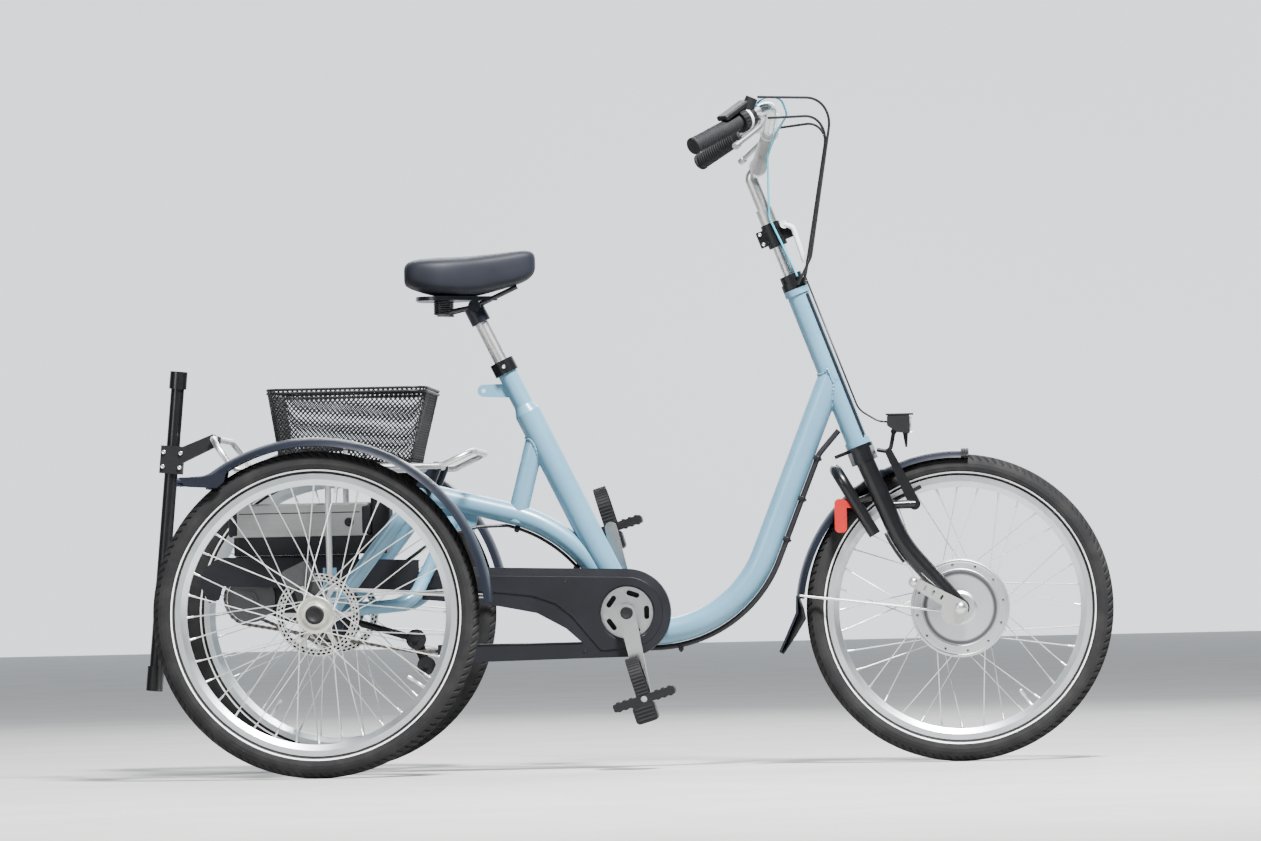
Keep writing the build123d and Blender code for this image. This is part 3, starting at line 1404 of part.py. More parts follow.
# Cables: loops from the bar to the steering head, and a bundle along the frame
cable_r = 2.6
right_lever = on_bar(-1, lever_clamp_in + 9) + Vector(20, -14, -10)
left_lever = on_bar(1, lever_clamp_in + 9) + Vector(20, 14, -10)
ring_r = head_cup_r + cable_r + seat_gap
cable_table = (
    # start, way out of it, clear of the start, two turns of the loop (x, y, z), angle round the top ring
    (right_lever, Vector(0.9, 0.35, 0.1), 9.3, (-234, -100, 1264), (-282, -40, 990), -45),
    (hood_top, Vector(0.9, 0.3, 0.1), 12.3, (-226, -116, 1296), (-276, -52, 990), -75),
    (left_lever, Vector(0.9, -0.35, 0.1), 9.3, (-234, 100, 1264), (-282, 40, 990), 45),
)
with BuildPart() as bar_cables:
    for start, way, clear, high, low, angle in cable_table:
        first = start + way.normalized() * clear
        high_turn = spot(wheelbase + high[0], high[1], high[2])
        low_turn = spot(wheelbase + low[0], low[1], low[2])
        end = on_steer(head_l + 6, ring_r * sin(radians(angle)), ring_r * cos(radians(angle)))
        bent_tube((first, high_turn, low_turn, end), (58, 30), cable_r)
bar_cables.part.label = "bar_cables"
export_step(bar_cables.part, "parts/bar_cables.step")

bundle_r = 5.5
bundle_off = down_r + bundle_r + 2 * seat_gap
down_way = (down_points[1] - down_points[0]).normalized()
down_under = Vector(-down_way.Z, 0, down_way.X)
bundle_z = down_corner_z - bundle_off
bundle_top = down_points[0] + down_under * bundle_off
bundle_corner = bundle_top + down_way * ((bundle_top.Z - bundle_z) / -down_way.Z)
head_cable_off = (head_r + cable_r + seat_gap) * sin(radians(45))
with BuildPart() as frame_cables:
    bundle_points = (
        on_steer(43, 0, -head_r - 3),
        bundle_top + down_way * 150,
        bundle_corner,
        spot(down_end_x + 40, 0, bundle_z),
    )
    bent_tube(bundle_points, (40, down_bend + bundle_off), bundle_r)
    head_cable_top = on_steer(head_l - head_cup_l - 4, -head_cable_off, head_cable_off)
    rod(head_cable_top, on_steer(head_cup_l + 4, -head_cable_off, head_cable_off), cable_r)
frame_cables.part.label = "frame_cables"
export_step(frame_cables.part, "parts/frame_cables.step")
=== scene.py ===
"""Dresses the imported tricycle: materials, tyres, basket, saddle, chains and small hardware.

Shapes are in millimetres from the rear axle's middle (x), the centre plane (y) and the ground (z), and
piece() turns them into the frame's metres. Materials, stage and camera are in metres.
"""
import json
import math

import bmesh
import bpy
from mathutils import Matrix, Vector


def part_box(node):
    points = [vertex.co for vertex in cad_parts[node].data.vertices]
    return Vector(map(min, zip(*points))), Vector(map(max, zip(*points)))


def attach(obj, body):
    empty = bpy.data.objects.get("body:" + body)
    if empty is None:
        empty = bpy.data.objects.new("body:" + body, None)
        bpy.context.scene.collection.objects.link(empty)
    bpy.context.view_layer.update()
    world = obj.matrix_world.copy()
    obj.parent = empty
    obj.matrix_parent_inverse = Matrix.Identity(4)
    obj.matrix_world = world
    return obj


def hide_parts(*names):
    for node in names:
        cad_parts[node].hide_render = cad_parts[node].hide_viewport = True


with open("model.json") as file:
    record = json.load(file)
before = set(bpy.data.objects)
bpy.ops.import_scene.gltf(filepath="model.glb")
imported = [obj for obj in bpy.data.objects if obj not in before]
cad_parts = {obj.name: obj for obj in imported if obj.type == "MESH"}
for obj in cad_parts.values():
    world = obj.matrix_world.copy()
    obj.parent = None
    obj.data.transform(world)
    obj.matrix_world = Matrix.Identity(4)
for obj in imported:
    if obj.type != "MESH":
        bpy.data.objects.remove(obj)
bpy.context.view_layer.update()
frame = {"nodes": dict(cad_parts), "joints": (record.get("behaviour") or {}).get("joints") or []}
nodes = frame["nodes"]

MM = 0.001
RIGHT = -1
LEFT = 1
BOTH = (RIGHT, LEFT)
SIDES = (("right", RIGHT), ("left", LEFT))
X = Vector((1, 0, 0))
Y = Vector((0, 1, 0))
Z = Vector((0, 0, 1))

# Places that come from the frame
tyre_low, tyre_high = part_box("rear_right_tyre")
origin = X * (tyre_low[0] + tyre_high[0]) / 2
joints = {joint["name"]: joint for joint in frame["joints"]}


def to_mm(place):
    return (Vector(place) - origin) / MM


def to_metres(place):
    return origin + place * MM


def corners_of(node):
    return [to_mm(corner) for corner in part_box(node)]


def centre_of(node):
    low, high = corners_of(node)
    return (low + high) / 2


def joint_at(name):
    return to_mm(joints[name]["pos_m"])


rear_axle = centre_of("rear_right_tyre")
front_axle = centre_of("front_tyre")
crank = joint_at("crank_spin")
head = joint_at("steering_turn")
steer_axis = Vector(joints["steering_turn"]["axis"]).normalized()
steer_ahead = Vector((steer_axis.z, 0, -steer_axis.x))


def on_steer(up, y=0, ahead=0):
    """A point beside the steering axis: up from the head tube's foot, to the left and ahead."""
    return head + steer_axis * up + Y * y + steer_ahead * ahead


def turns(count, start=0):
    """Angles evenly spaced in a full turn."""
    return [2 * math.pi * (step + start) / count for step in range(count)]


def off_axle(angle, radius=1):
    """An offset square to an axle that runs across."""
    return Vector((math.cos(angle), 0, math.sin(angle))) * radius


# Materials
FINE_DEPTH = 0.00006
GRAIN_DEPTH = 0.0003
BRIGHT = (0.74, 0.74, 0.73)


class Shader:
    """A material's node tree with the Principled shader and object coordinates ready."""

    def __init__(self, name, **values):
        self.material = bpy.data.materials.new(name)
        self.material.use_nodes = True
        self.nodes = self.material.node_tree.nodes
        self.surface = self.nodes["Principled BSDF"]
        self.place = self.add("TexCoord", {}, "Object")
        for key, value in values.items():
            self.feed(self.surface, key.replace("_", " "), value)

    def feed(self, node, key, value):
        """Links a socket to a node's input, or sets the input to a plain value."""
        if isinstance(value, bpy.types.NodeSocket):
            self.material.node_tree.links.new(value, node.inputs[key])
        else:
            node.inputs[key].default_value = value

    def add(self, kind, inputs, output=0, **settings):
        """Makes a node and returns one of its outputs."""
        node = self.nodes.new(f"ShaderNode{kind}")
        for key, value in settings.items():
            setattr(node, key, value)
        for key, value in inputs.items():
            self.feed(node, key, value)
        return node.outputs[output]

    def noise(self, scale, detail, stretch=(1, 1, 1)):
        place = self.add("Mapping", {"Vector": self.place, "Scale": stretch})
        return self.add("TexNoise", {"Vector": place, "Scale": scale, "Detail": detail}, "Fac")

    def cells(self, scale):
        inputs = {"Vector": self.place, "Scale": scale}
        return self.add("TexVoronoi", inputs, "Distance", feature="DISTANCE_TO_EDGE")

    def calc(self, operation, first, second=0):
        return self.add("Math", {0: first, 1: second}, operation=operation)

    def reach(self, centre):
        """The distance from an axle that runs across."""
        gap = self.add("VectorMath", {0: self.place, 1: centre}, operation="SUBTRACT")
        flat = self.add("VectorMath", {0: gap, 1: (1, 0, 1)}, operation="MULTIPLY")
        return self.add("VectorMath", {0: flat}, "Value", operation="LENGTH")

    def ramp(self, source, stops):
        node = self.nodes.new("ShaderNodeValToRGB")
        elements = node.color_ramp.elements
        while len(elements) < len(stops):
            elements.new(0.5)
        for element, (where, colour) in zip(elements, stops):
            element.position = where
            element.color = (*colour, 1)
        self.feed(node, "Fac", source)
        return node.outputs["Color"]

    def colour(self, source, dark, light, low=0.35, high=0.65):
        self.feed(self.surface, "Base Color", self.ramp(source, ((low, dark), (high, light))))

    def rough(self, source, low, high):
        spread = self.add("MapRange", {"Value": source, "To Min": low, "To Max": high})
        self.feed(self.surface, "Roughness", spread)

    def bump(self, source, strength, depth):
        bump = self.add("Bump", {"Height": source, "Strength": strength, "Distance": depth})
        self.feed(self.surface, "Normal", bump)


def shade(colour, factor):
    return tuple(min(1.0, channel * factor) for channel in colour)


def paint(name, colour, gloss, coat, flake=0.05, shine=0.5):
    """Sprayed paint: slight cloudiness and orange peel under a clear coat."""
    shader = Shader(name, Coat_Weight=coat, Coat_Roughness=0.12, Specular_IOR_Level=shine)
    shader.colour(shader.noise(9, 3), shade(colour, 1 - flake), shade(colour, 1 + flake))
    shader.rough(shader.noise(60, 5), gloss - 0.05, gloss + 0.07)
    shader.bump(shader.noise(420, 2), 0.05, FINE_DEPTH)
    return shader.material


def plastic(name, colour, rough=0.5, relief=0.16):
    """Moulded plastic with a fine grain."""
    shader = Shader(name, Specular_IOR_Level=0.28)
    shader.colour(shader.noise(14, 4), shade(colour, 0.86), shade(colour, 1.14))
    shader.rough(shader.noise(35, 5), rough - 0.07, rough + 0.07)
    shader.bump(shader.noise(900, 2), relief, GRAIN_DEPTH)
    return shader.material


def metal(name, colour, rough, stretch=(1, 1, 1), scale=160, relief=0.05):
    """Bare metal, brushed along the direction that the stretch leaves long."""
    shader = Shader(name, Metallic=1.0)
    streak = shader.noise(scale, 6, stretch)
    shader.colour(streak, shade(colour, 0.95), shade(colour, 1.05), 0.3, 0.7)
    shader.rough(streak, rough - 0.04, rough + 0.05)
    shader.bump(streak, relief, FINE_DEPTH)
    return shader.material


def rubber(name, colour, dust, rough=0.75):
    """Rubber with a dusty bloom in patches."""
    shader = Shader(name, Specular_IOR_Level=0.22)
    shader.colour(shader.noise(26, 6), colour, dust, 0.42, 0.78)
    shader.rough(shader.noise(90, 4), rough - 0.1, rough + 0.1)
    shader.bump(shader.noise(1100, 2), 0.2, GRAIN_DEPTH)
    return shader.material


def vinyl(name, colour):
    """Dark seat vinyl with a small leather grain."""
    shader = Shader(name, Specular_IOR_Level=0.2)
    shader.colour(shader.noise(12, 4), shade(colour, 0.85), shade(colour, 1.25))
    shader.rough(shader.noise(40, 5), 0.5, 0.62)
    shader.bump(shader.cells(650), 0.28, 0.0005)
    return shader.material


def motor_shell(name, centre):
    """The motor's cast face with painted dark shade in its sunk ring, and bright spokes outside it."""
    shader = Shader(name, Metallic=1.0)
    face = (0.62, 0.625, 0.65)
    # painted shade: the sunk ring is coloured dark as the shade in its groove
    sunk_shade = (0.1, 0.1, 0.11)
    edge = (0.55, 0.555, 0.58)
    inner = ((0, face), (0.065, face), (0.0665, sunk_shade), (0.0715, sunk_shade))
    outer = ((0.073, edge), (0.0965, edge), (0.1, BRIGHT))
    shader.feed(shader.surface, "Base Color", shader.ramp(shader.reach(centre), inner + outer))
    grain = shader.noise(300, 5)
    shader.rough(grain, 0.36, 0.48)
    shader.bump(grain, 0.08, FINE_DEPTH)
    return shader.material


# Brake rotor: how far it lies in from the tyre's middle, and its rows of round spots painted dark as the
# shade seen through drilled holes
ROTOR_INSET = 40
ROTOR_HALF_T = 0.002
ROTOR_INNER = 0.0665
ROTOR_ROW = 0.006
ROTOR_ROWS = 2
ROTOR_SHADE_SPOTS = 48
ROTOR_SHADE_SPOT = 0.33


def hub_steel(name, centre):
    """Bright steel for a rear hub, with rows of round spots painted near-black round its brake rotor's band,
    as the shade seen through holes.
    """
    shader = Shader(name, Metallic=1.0)
    calc = shader.calc
    x, y, z = (shader.add("SeparateXYZ", {"Vector": shader.place}, axis) for axis in "XYZ")
    angle = calc("ARCTAN2", calc("SUBTRACT", z, centre.z), calc("SUBTRACT", x, centre.x))
    turn = calc("MULTIPLY", angle, ROTOR_SHADE_SPOTS / (2 * math.pi))
    row = calc("MULTIPLY", calc("SUBTRACT", shader.reach(centre), ROTOR_INNER), 1 / ROTOR_ROW)
    in_row = calc("SUBTRACT", calc("FRACT", row), 0.5)
    shifted = calc("ADD", turn, calc("MULTIPLY", calc("FLOOR", row), 0.5))
    in_turn = calc("SUBTRACT", calc("FRACT", shifted), 0.5)
    miss = calc("ADD", calc("POWER", in_row, 2), calc("POWER", in_turn, 2))
    # painted shade: round spots where the rotor's holes would be, which are not cut
    shade_spot = calc("LESS_THAN", miss, ROTOR_SHADE_SPOT ** 2)
    off_plane = calc("ABSOLUTE", calc("SUBTRACT", y, centre.y))
    on_rotor = calc("LESS_THAN", off_plane, ROTOR_HALF_T)
    off_band = calc("ABSOLUTE", calc("SUBTRACT", row, ROTOR_ROWS / 2))
    in_band = calc("LESS_THAN", off_band, ROTOR_ROWS / 2)
    painted_shade_mask = calc("MULTIPLY", shade_spot, calc("MULTIPLY", on_rotor, in_band))
    # the spots are painted near-black as the shade seen through the rotor's holes
    shader.colour(painted_shade_mask, BRIGHT, shade(BRIGHT, 0.03), 0.4, 0.6)
    grain = shader.noise(160, 6)
    shader.rough(grain, 0.3, 0.39)
    shader.bump(grain, 0.05, FINE_DEPTH)
    return shader.material


def glass(name):
    """Clear moulded lamp glass."""
    shader = Shader(name, Transmission_Weight=1.0, IOR=1.49)
    shader.colour(shader.noise(20, 2), (0.92, 0.94, 0.95), (0.98, 0.99, 1.0))
    shader.rough(shader.noise(60, 3), 0.02, 0.08)
    return shader.material


frame_blue = paint("frame_blue_paint", (0.106, 0.236, 0.33), 0.34, coat=0.3)
gloss_black = paint("gloss_black_paint", (0.004, 0.0042, 0.005), 0.3, coat=0.2, flake=0.12, shine=0.3)
guard_black = paint("guard_black_paint", (0.007, 0.0088, 0.0145), 0.33, coat=0.2, flake=0.12, shine=0.3)
case_black = plastic("case_plastic", (0.006, 0.0066, 0.009), rough=0.42)
dark_plastic = plastic("dark_plastic", (0.005, 0.005, 0.006))
cable_black = plastic("cable_sleeve", (0.012, 0.012, 0.014), rough=0.38, relief=0.06)
pale_lever = plastic("pale_lever_plastic", (0.55, 0.57, 0.58), rough=0.4)
tyre_rubber = rubber("tyre_rubber", (0.009, 0.009, 0.0098), (0.02, 0.019, 0.0185))
grip_rubber = rubber("grip_rubber", (0.01, 0.01, 0.012), (0.017, 0.017, 0.018), rough=0.68)
rim_alloy = metal("rim_alloy", (0.72, 0.76, 0.79), 0.34, stretch=(0.15, 1, 0.15), relief=0.03)
bright_steel = metal("bright_steel", BRIGHT, 0.34)
hub_right = hub_steel("hub_right_steel", to_metres(rear_axle + Y * ROTOR_INSET))
hub_left = hub_steel("hub_left_steel", to_metres(centre_of("rear_left_tyre") - Y * ROTOR_INSET))
chrome = metal("polished_steel", (0.8, 0.81, 0.82), 0.22, relief=0.02)
dark_alloy = metal("dark_alloy", (0.1, 0.1, 0.105), 0.42, scale=300)
cast_alloy = metal("cast_alloy", (0.52, 0.53, 0.54), 0.4, scale=420, relief=0.14)
motor_grey = motor_shell("motor_cast_alloy", to_metres(front_axle))
battery_silver = metal("battery_shell", (0.36, 0.37, 0.37), 0.38, stretch=(0.1, 1, 1), relief=0.04)
cream_alloy = metal("hub_alloy", (0.66, 0.66, 0.57), 0.36)
chain_steel = metal("chain_steel", (0.17, 0.155, 0.14), 0.36, scale=500)
wire_black = paint("wire_black_coat", (0.005, 0.005, 0.0055), 0.42, coat=0.0, flake=0.2, shine=0.25)
key_red = plastic("key_red_plastic", (0.3, 0.013, 0.013), rough=0.28, relief=0.05)
ring_white = plastic("reflective_ring", (0.74, 0.75, 0.74), rough=0.4)
saddle_vinyl = vinyl("saddle_vinyl", (0.0095, 0.0108, 0.016))
lamp_glass = glass("lamp_glass")
blue_sleeve = plastic("blue_cable_sleeve", (0.06, 0.32, 0.42), rough=0.35, relief=0.05)

NODE_MATERIALS = (
    (frame_blue, "head_tube down_tube seat_tube arch_tube axle_housing rear_hoop lower_stays"),
    (gloss_black, "fork head_rings ring_lock stick_tube seat_collar column_clamp rim_brake"),
    (guard_black, "rear_guards front_guard hub_plates carrier_brackets differential saddle_frame"),
    (case_black, "chain_case rear_hood battery_dock"),
    (dark_plastic, "stick_clamp pedal_right pedal_left shifter headlamp tensioner"),
    (cable_black, "bar_cables frame_cables"),
    (pale_lever, "quick_lever"),
    (grip_rubber, "grips"),
    (rim_alloy, "front_rim rear_right_rim rear_left_rim"),
    (bright_steel, "front_axle carrier guard_rods guard_stays seat_post stem"),
    (hub_right, "rear_right_hub"),
    (hub_left, "rear_left_hub"),
    (chrome, "column handlebar crankset"),
    (cast_alloy, "brake_levers"),
    (dark_alloy, "calipers gear_hub"),
    (motor_grey, "front_hub"),
    (battery_silver, "battery"),
    (key_red, "lock_key"),
    (lamp_glass, "lamp_lens"),
    (chain_steel, "chains"),
    (tyre_rubber, "front_tyre rear_right_tyre rear_left_tyre"),
    (saddle_vinyl, "saddle"),
    (wire_black, "basket"),
)
for node_material, names in NODE_MATERIALS:
    for node_name in names.split():
        slots = nodes[node_name].data.materials
        slots.clear()
        slots.append(node_material)

# Mesh helpers
TO_FRAME = Matrix.Translation(origin) @ Matrix.Scale(MM, 4)


def piece(name, form, material, body, slot, smooth=True, bevel=None):
    """Makes an object of a bmesh and lets it ride on a body; bevel is a width and a number of segments."""
    bmesh.ops.transform(form, matrix=TO_FRAME, verts=form.verts)
    bmesh.ops.recalc_face_normals(form, faces=form.faces)
    mesh = bpy.data.meshes.new(name)
    form.to_mesh(mesh)
    form.free()
    for face in mesh.polygons:
        face.use_smooth = smooth
    mesh.materials.append(material)
    made = bpy.data.objects.new(name, mesh)
    bpy.context.scene.collection.objects.link(made)
    if bevel:
        edges = made.modifiers.new("edges", "BEVEL")
        edges.width = bevel[0] * MM
        edges.segments = bevel[1]
    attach(made, body)
    return made


def build(name, shapes, material, body, slot, **finish):
    """Makes a piece of several shapes, each a function that adds to a mesh, with what it is given."""
    mesh = bmesh.new()
    for shape, *given in shapes:
        shape(mesh, *given)
    return piece(name, mesh, material, body, slot, **finish)


def crosswise(direction):
    """Two unit vectors square to a direction and to each other."""
    direction = direction.normalized()
    helper = Z if abs(direction.z) < 0.9 else X
    first = direction.cross(helper).normalized()
    return first, direction.cross(first).normalized()


def bridge(mesh, rows, closed=True):
    """Faces between neighbouring rows of vertices; a closed row's end joins its start."""
    for row, following in zip(rows, rows[1:]):
        for step in range(len(row) if closed else len(row) - 1):
            turn = (step + 1) % len(row)
            mesh.faces.new((row[step], row[turn], following[turn], following[step]))


def patch(mesh, rows):
    """An open surface between rows of points."""
    bridge(mesh, [[mesh.verts.new(point) for point in row] for row in rows], closed=False)


def circle(middle, first, second, radius, around):
    """Points of a circle in the plane of two unit vectors."""
    return [middle + (first * math.cos(a) + second * math.sin(a)) * radius for a in turns(around)]


def sweep(mesh, points, radius, around=8, closed=False):
    """A round tube along points, with its ends closed."""
    count = len(points)
    rings = []
    first = None
    for index, point in enumerate(points):
        before = points[index - 1] if index or closed else point
        after = points[(index + 1) % count] if index < count - 1 or closed else point
        along = (after - before).normalized()
        if first is None:
            first, second = crosswise(along)
        else:
            first = (first - along * first.dot(along)).normalized()
            second = along.cross(first)
        rings.append([mesh.verts.new(spot) for spot in circle(point, first, second, radius, around)])
    if closed:
        rings.append(rings[0])
    else:
        mesh.faces.new(rings[0])
        mesh.faces.new(rings[-1][::-1])
    bridge(mesh, rings)


def lathe(mesh, centre, axis, profile, around=32):
    """Turns a profile of (along, radius) pairs about an axis; radius 0 closes an end."""
    axis = axis.normalized()
    first, second = crosswise(axis)
    rings = []
    for along, radius in profile:
        ring = circle(centre + axis * along, first, second, radius, around if radius else 1)
        rings.append([mesh.verts.new(spot) for spot in ring])
    for ring, following in zip(rings, rings[1:]):
        for step in range(around):
            turn = (step + 1) % around
            corners = [ring[step % len(ring)], ring[turn % len(ring)]]
            corners += [following[turn % len(following)], following[step % len(following)]]
            corners = list(dict.fromkeys(corners))
            if len(corners) > 2:
                mesh.faces.new(corners)


def prism(mesh, outline, along):
    """A plate: an outline of points and its copy moved along, joined by side walls."""
    rows = [[mesh.verts.new(point + move) for point in outline] for move in (Vector(), along)]
    mesh.faces.new(rows[0])
    mesh.faces.new(rows[1][::-1])
    bridge(mesh, rows)


def block(mesh, middle, along, across, half_sizes):
    """A box about a point with its edges along two directions and their normal."""
    long, wide, high = half_sizes
    up = along.cross(across).normalized() * high
    ahead = along.normalized() * long
    aside = across.normalized() * wide
    low = middle - up
    prism(mesh, [low - ahead - aside, low + ahead - aside, low + ahead + aside, low - ahead + aside], up * 2)


def hex_bolt(mesh, place, axis, radius, height):
    """A washer and a hexagon head with a chamfered top."""
    wide = radius * 1.5
    thick = radius * 0.25
    lathe(mesh, place, axis, ((0, 0), (0, wide), (thick, wide), (thick, 0)), 20)
    head_profile = ((0, 0), (0, radius), (height * 0.85, radius), (height, radius * 0.8), (height, 0))
    lathe(mesh, place + axis.normalized() * thick, axis, head_profile, 6)


def cap_screw(mesh, place, axis, radius, height):
    """A round socket head with a sunk middle."""
    rim = ((0, 0), (0, radius), (height * 0.85, radius), (height, radius * 0.85))
    socket = ((height, radius * 0.5), (height * 0.45, radius * 0.42), (height * 0.45, 0))
    lathe(mesh, place, axis, rim + socket, 16)


def rounded(points, radius, steps=8):
    """Points along straight runs with their corners rounded."""
    path = [points[0]]
    for before, corner, after in zip(points, points[1:], points[2:]):
        back = before - corner
        ahead = after - corner
        reach = min(radius / math.tan(back.angle(ahead) / 2), back.length * 0.48, ahead.length * 0.48)
        start = corner + back.normalized() * reach
        end = corner + ahead.normalized() * reach
        for step in range(steps + 1):
            share = step / steps
            path.append(start.lerp(corner, share).lerp(corner.lerp(end, share), share))
    path.append(points[-1])
    return path


def bent(before, corner, after, radius, steps=20):
    """Points along two straight runs joined by an arc."""
    back = (before - corner).normalized()
    ahead = (after - corner).normalized()
    half = back.angle(ahead) / 2
    reach = radius / math.tan(half)
    middle = corner + (back + ahead).normalized() * radius / math.sin(half)
    start = corner + back * reach - middle
    end = corner + ahead * reach - middle
    turn = start.angle(end)
    path = [before]
    for step in range(steps + 1):
        share = step / steps
        mix = start * math.sin((1 - share) * turn) + end * math.sin(share * turn)
        path.append(middle + mix / math.sin(turn))
    path.append(after)
    return path


def girth(outline):
    return sum((two - one).length for one, two in zip(outline, outline[1:] + outline[:1]))


def spaced(outline, count):
    """Points at even distances round a closed outline."""
    every = girth(outline) / count
    places = []
    walked = 0
    for one, two in zip(outline, outline[1:] + outline[:1]):
        length = (two - one).length
        while len(places) < count and len(places) * every <= walked + length:
            places.append(one.lerp(two, (len(places) * every - walked) / length))
        walked += length
    return places


# Tyres, with tread cut into the crown and a pale ring on each side wall
TREAD_DEPTH = 2.2
TREAD_STEPS = 720
SIPE_EVERY = 6
SIPE_STEPS = 2
SIPE_SLANT = 7
CENTRE_SLANT = 20
GROOVE_IN = 0.16
GROOVE_OUT = 0.24
CROWN_DROP = 11.3
CROWN_POWER = 2.4
CROWN_STEPS = 26
SHOULDER = 0.88
BEAD = (0.6, 0.5)
SIDE_WALL = (
    # share of the half width, share of the height above the rim
    (0.74, 0.10),
    (0.91, 0.25),
    (0.99, 0.42),
    (0.97, 0.58),
    (SHOULDER, 0.73),
)
PALE_RING = (0.15, 0.6)
PALE_RING_RISE = 0.5
WHEELS = (
    # node stem, body, valve's angle in degrees
    ("front", "front_wheel", 305),
    ("rear_right", "rear_wheel_right", 325),
    ("rear_left", "rear_wheel_left", 235),
)


def in_groove(y, step, half_width):
    """True where the tread is cut: a ring groove each side and slanted sipes beside it."""
    across = abs(y) / half_width
    if GROOVE_IN < across < GROOVE_OUT:
        return True
    if across < GROOVE_IN:
        return (step + round(across * CENTRE_SLANT)) % (SIPE_EVERY * 2) < SIPE_STEPS
    slant = step + round(across * SIPE_SLANT) + (SIPE_EVERY // 2 if y > 0 else 0)
    return slant % SIPE_EVERY < SIPE_STEPS


def tread_point(radius, half_width, y, step):
    """A point of the round crown as (y, radius), sunk along the crown's normal where the tread is cut."""
    shoulder = half_width * SHOULDER
    share = abs(y) / shoulder
    crown = radius - CROWN_DROP * share ** CROWN_POWER
    if not in_groove(y, step, half_width):
        return y, crown
    slope = CROWN_DROP * CROWN_POWER / shoulder * share ** (CROWN_POWER - 1)
    sink = TREAD_DEPTH / math.hypot(slope, 1)
    return y - math.copysign(slope * sink, y), crown - sink


def build_tyre(node, body):
    low, high = corners_of(node)
    centre = (low + high) / 2
    radius = (high.z - low.z) / 2
    half_width = (high.y - low.y) / 2
    rim_low, rim_high = corners_of(node.replace("tyre", "rim"))
    rim_radius = (rim_high.z - rim_low.z) / 2
    height = radius - rim_radius
    wall = [(half_width * BEAD[0], rim_radius + BEAD[1])]
    wall += [(half_width * wide, rim_radius + height * up) for wide, up in SIDE_WALL]
    crown_y = [half_width * SHOULDER * (-1 + 2 * step / CROWN_STEPS) for step in range(1, CROWN_STEPS)]
    mesh = bmesh.new()
    rings = []
    for step, angle in enumerate(turns(TREAD_STEPS)):
        out = off_axle(angle)
        section = [(-y, r) for y, r in wall]
        section += [tread_point(radius, half_width, y, step) for y in crown_y]
        section += wall[::-1]
        rings.append([mesh.verts.new(centre + out * r + Y * y) for y, r in section])
    bridge(mesh, rings + rings[:1])
    tyre = piece(f"{node}_tread", mesh, tyre_rubber, body, "tyre_rubber", smooth=False)
    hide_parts(node)
    inner, outer = (Vector(pair) for pair in wall[1:3])
    band = [inner.lerp(outer, share) for share in PALE_RING]
    pale = [(lathe, centre, Y, [(side * (y + PALE_RING_RISE), r) for y, r in band], 160) for side in BOTH]
    build(f"{node}_ring", pale, ring_white, body, "tyre_rubber")


for wheel, wheel_body, valve_angle in WHEELS:
    build_tyre(f"{wheel}_tyre", wheel_body)

# Basket of diamond wire, between the node's corners
STRAND_R = 1.1
STRAND_EVERY = 9.6
STRAND_STEPS = 10
FLOOR_EVERY = STRAND_EVERY * 1.4
FLOOR_GAP = 2
FOOT_WIRE_R = 2.2
RIM_WIRE_R = 2.6
RIM_DROPS = (0, 7)
RIM_INSET = 3.5
RIM_BELOW = 3
BASKET_TAPER_X = 27.5
BASKET_TAPER_Y = 20
BASKET_LEAN = 7
TOP_CORNER_R = 34
LOW_CORNER_R = 24
CORNER_STEPS = 60


def rounded_loop(middle, half_x, half_y, corner, count):
    """Points evenly spaced round a level rectangle with round corners."""
    outline = []
    for quarter, (way_x, way_y) in enumerate(((1, 1), (-1, 1), (-1, -1), (1, -1))):
        for step in range(CORNER_STEPS + 1):
            angle = math.pi / 2 * (quarter + step / CORNER_STEPS)
            x = way_x * (half_x - corner) + corner * math.cos(angle)
            y = way_y * (half_y - corner) + corner * math.sin(angle)
            outline.append(middle + Vector((x, y, 0)))
    return spaced(outline[-1:] + outline[:-1], count)


def build_basket():
    low, high = corners_of("basket")
    middle = (low + high) / 2
    top = Vector((middle.x, middle.y, high.z - RIM_BELOW))
    foot = Vector((middle.x - BASKET_LEAN, middle.y, low.z + FLOOR_GAP))
    top_x = (high.x - low.x) / 2 - RIM_INSET
    top_y = (high.y - low.y) / 2 - RIM_INSET
    low_x = top_x - BASKET_TAPER_X
    low_y = top_y - BASKET_TAPER_Y
    around = 4 * (top_x + top_y)
    count = round(around / STRAND_EVERY)
    fine = count * 4
    low_loop = rounded_loop(foot, low_x, low_y, LOW_CORNER_R, fine)
    top_loop = rounded_loop(top, top_x, top_y, TOP_CORNER_R, fine)
    slope = round(fine * (top.z - foot.z) / around)
    mesh = bmesh.new()
    for strand in range(count):
        for way in (-1, 1):
            points = []
            for step in range(STRAND_STEPS + 1):
                share = step / STRAND_STEPS
                index = round(strand * 4 + way * slope * share) % fine
                points.append(low_loop[index].lerp(top_loop[index], share))
            sweep(mesh, points, STRAND_R, 4)
    reach_x = low_x - FLOOR_GAP
    reach_y = low_y - FLOOR_GAP
    reach = reach_x + reach_y
    lines = int(2 * reach / FLOOR_EVERY)
    for line in range(1, lines):
        offset = -reach + 2 * reach * line / lines
        ends = (max(-reach_x, offset - reach_y), min(reach_x, offset + reach_y))
        for way in (-1, 1):
            sweep(mesh, [foot + Vector((x, way * (offset - x), 0)) for x in ends], STRAND_R, 4)
    sweep(mesh, low_loop[::4], FOOT_WIRE_R, closed=True)
    basket = piece("basket_mesh", mesh, wire_black, "frame", "black_paint")
    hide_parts("basket")
    loops = [[point - Z * drop for point in top_loop[::4]] for drop in RIM_DROPS]
    wires = [(sweep, loop, RIM_WIRE_R, 8, True) for loop in loops]
    build("basket_rim", wires, wire_black, "frame", "black_paint")


build_basket()

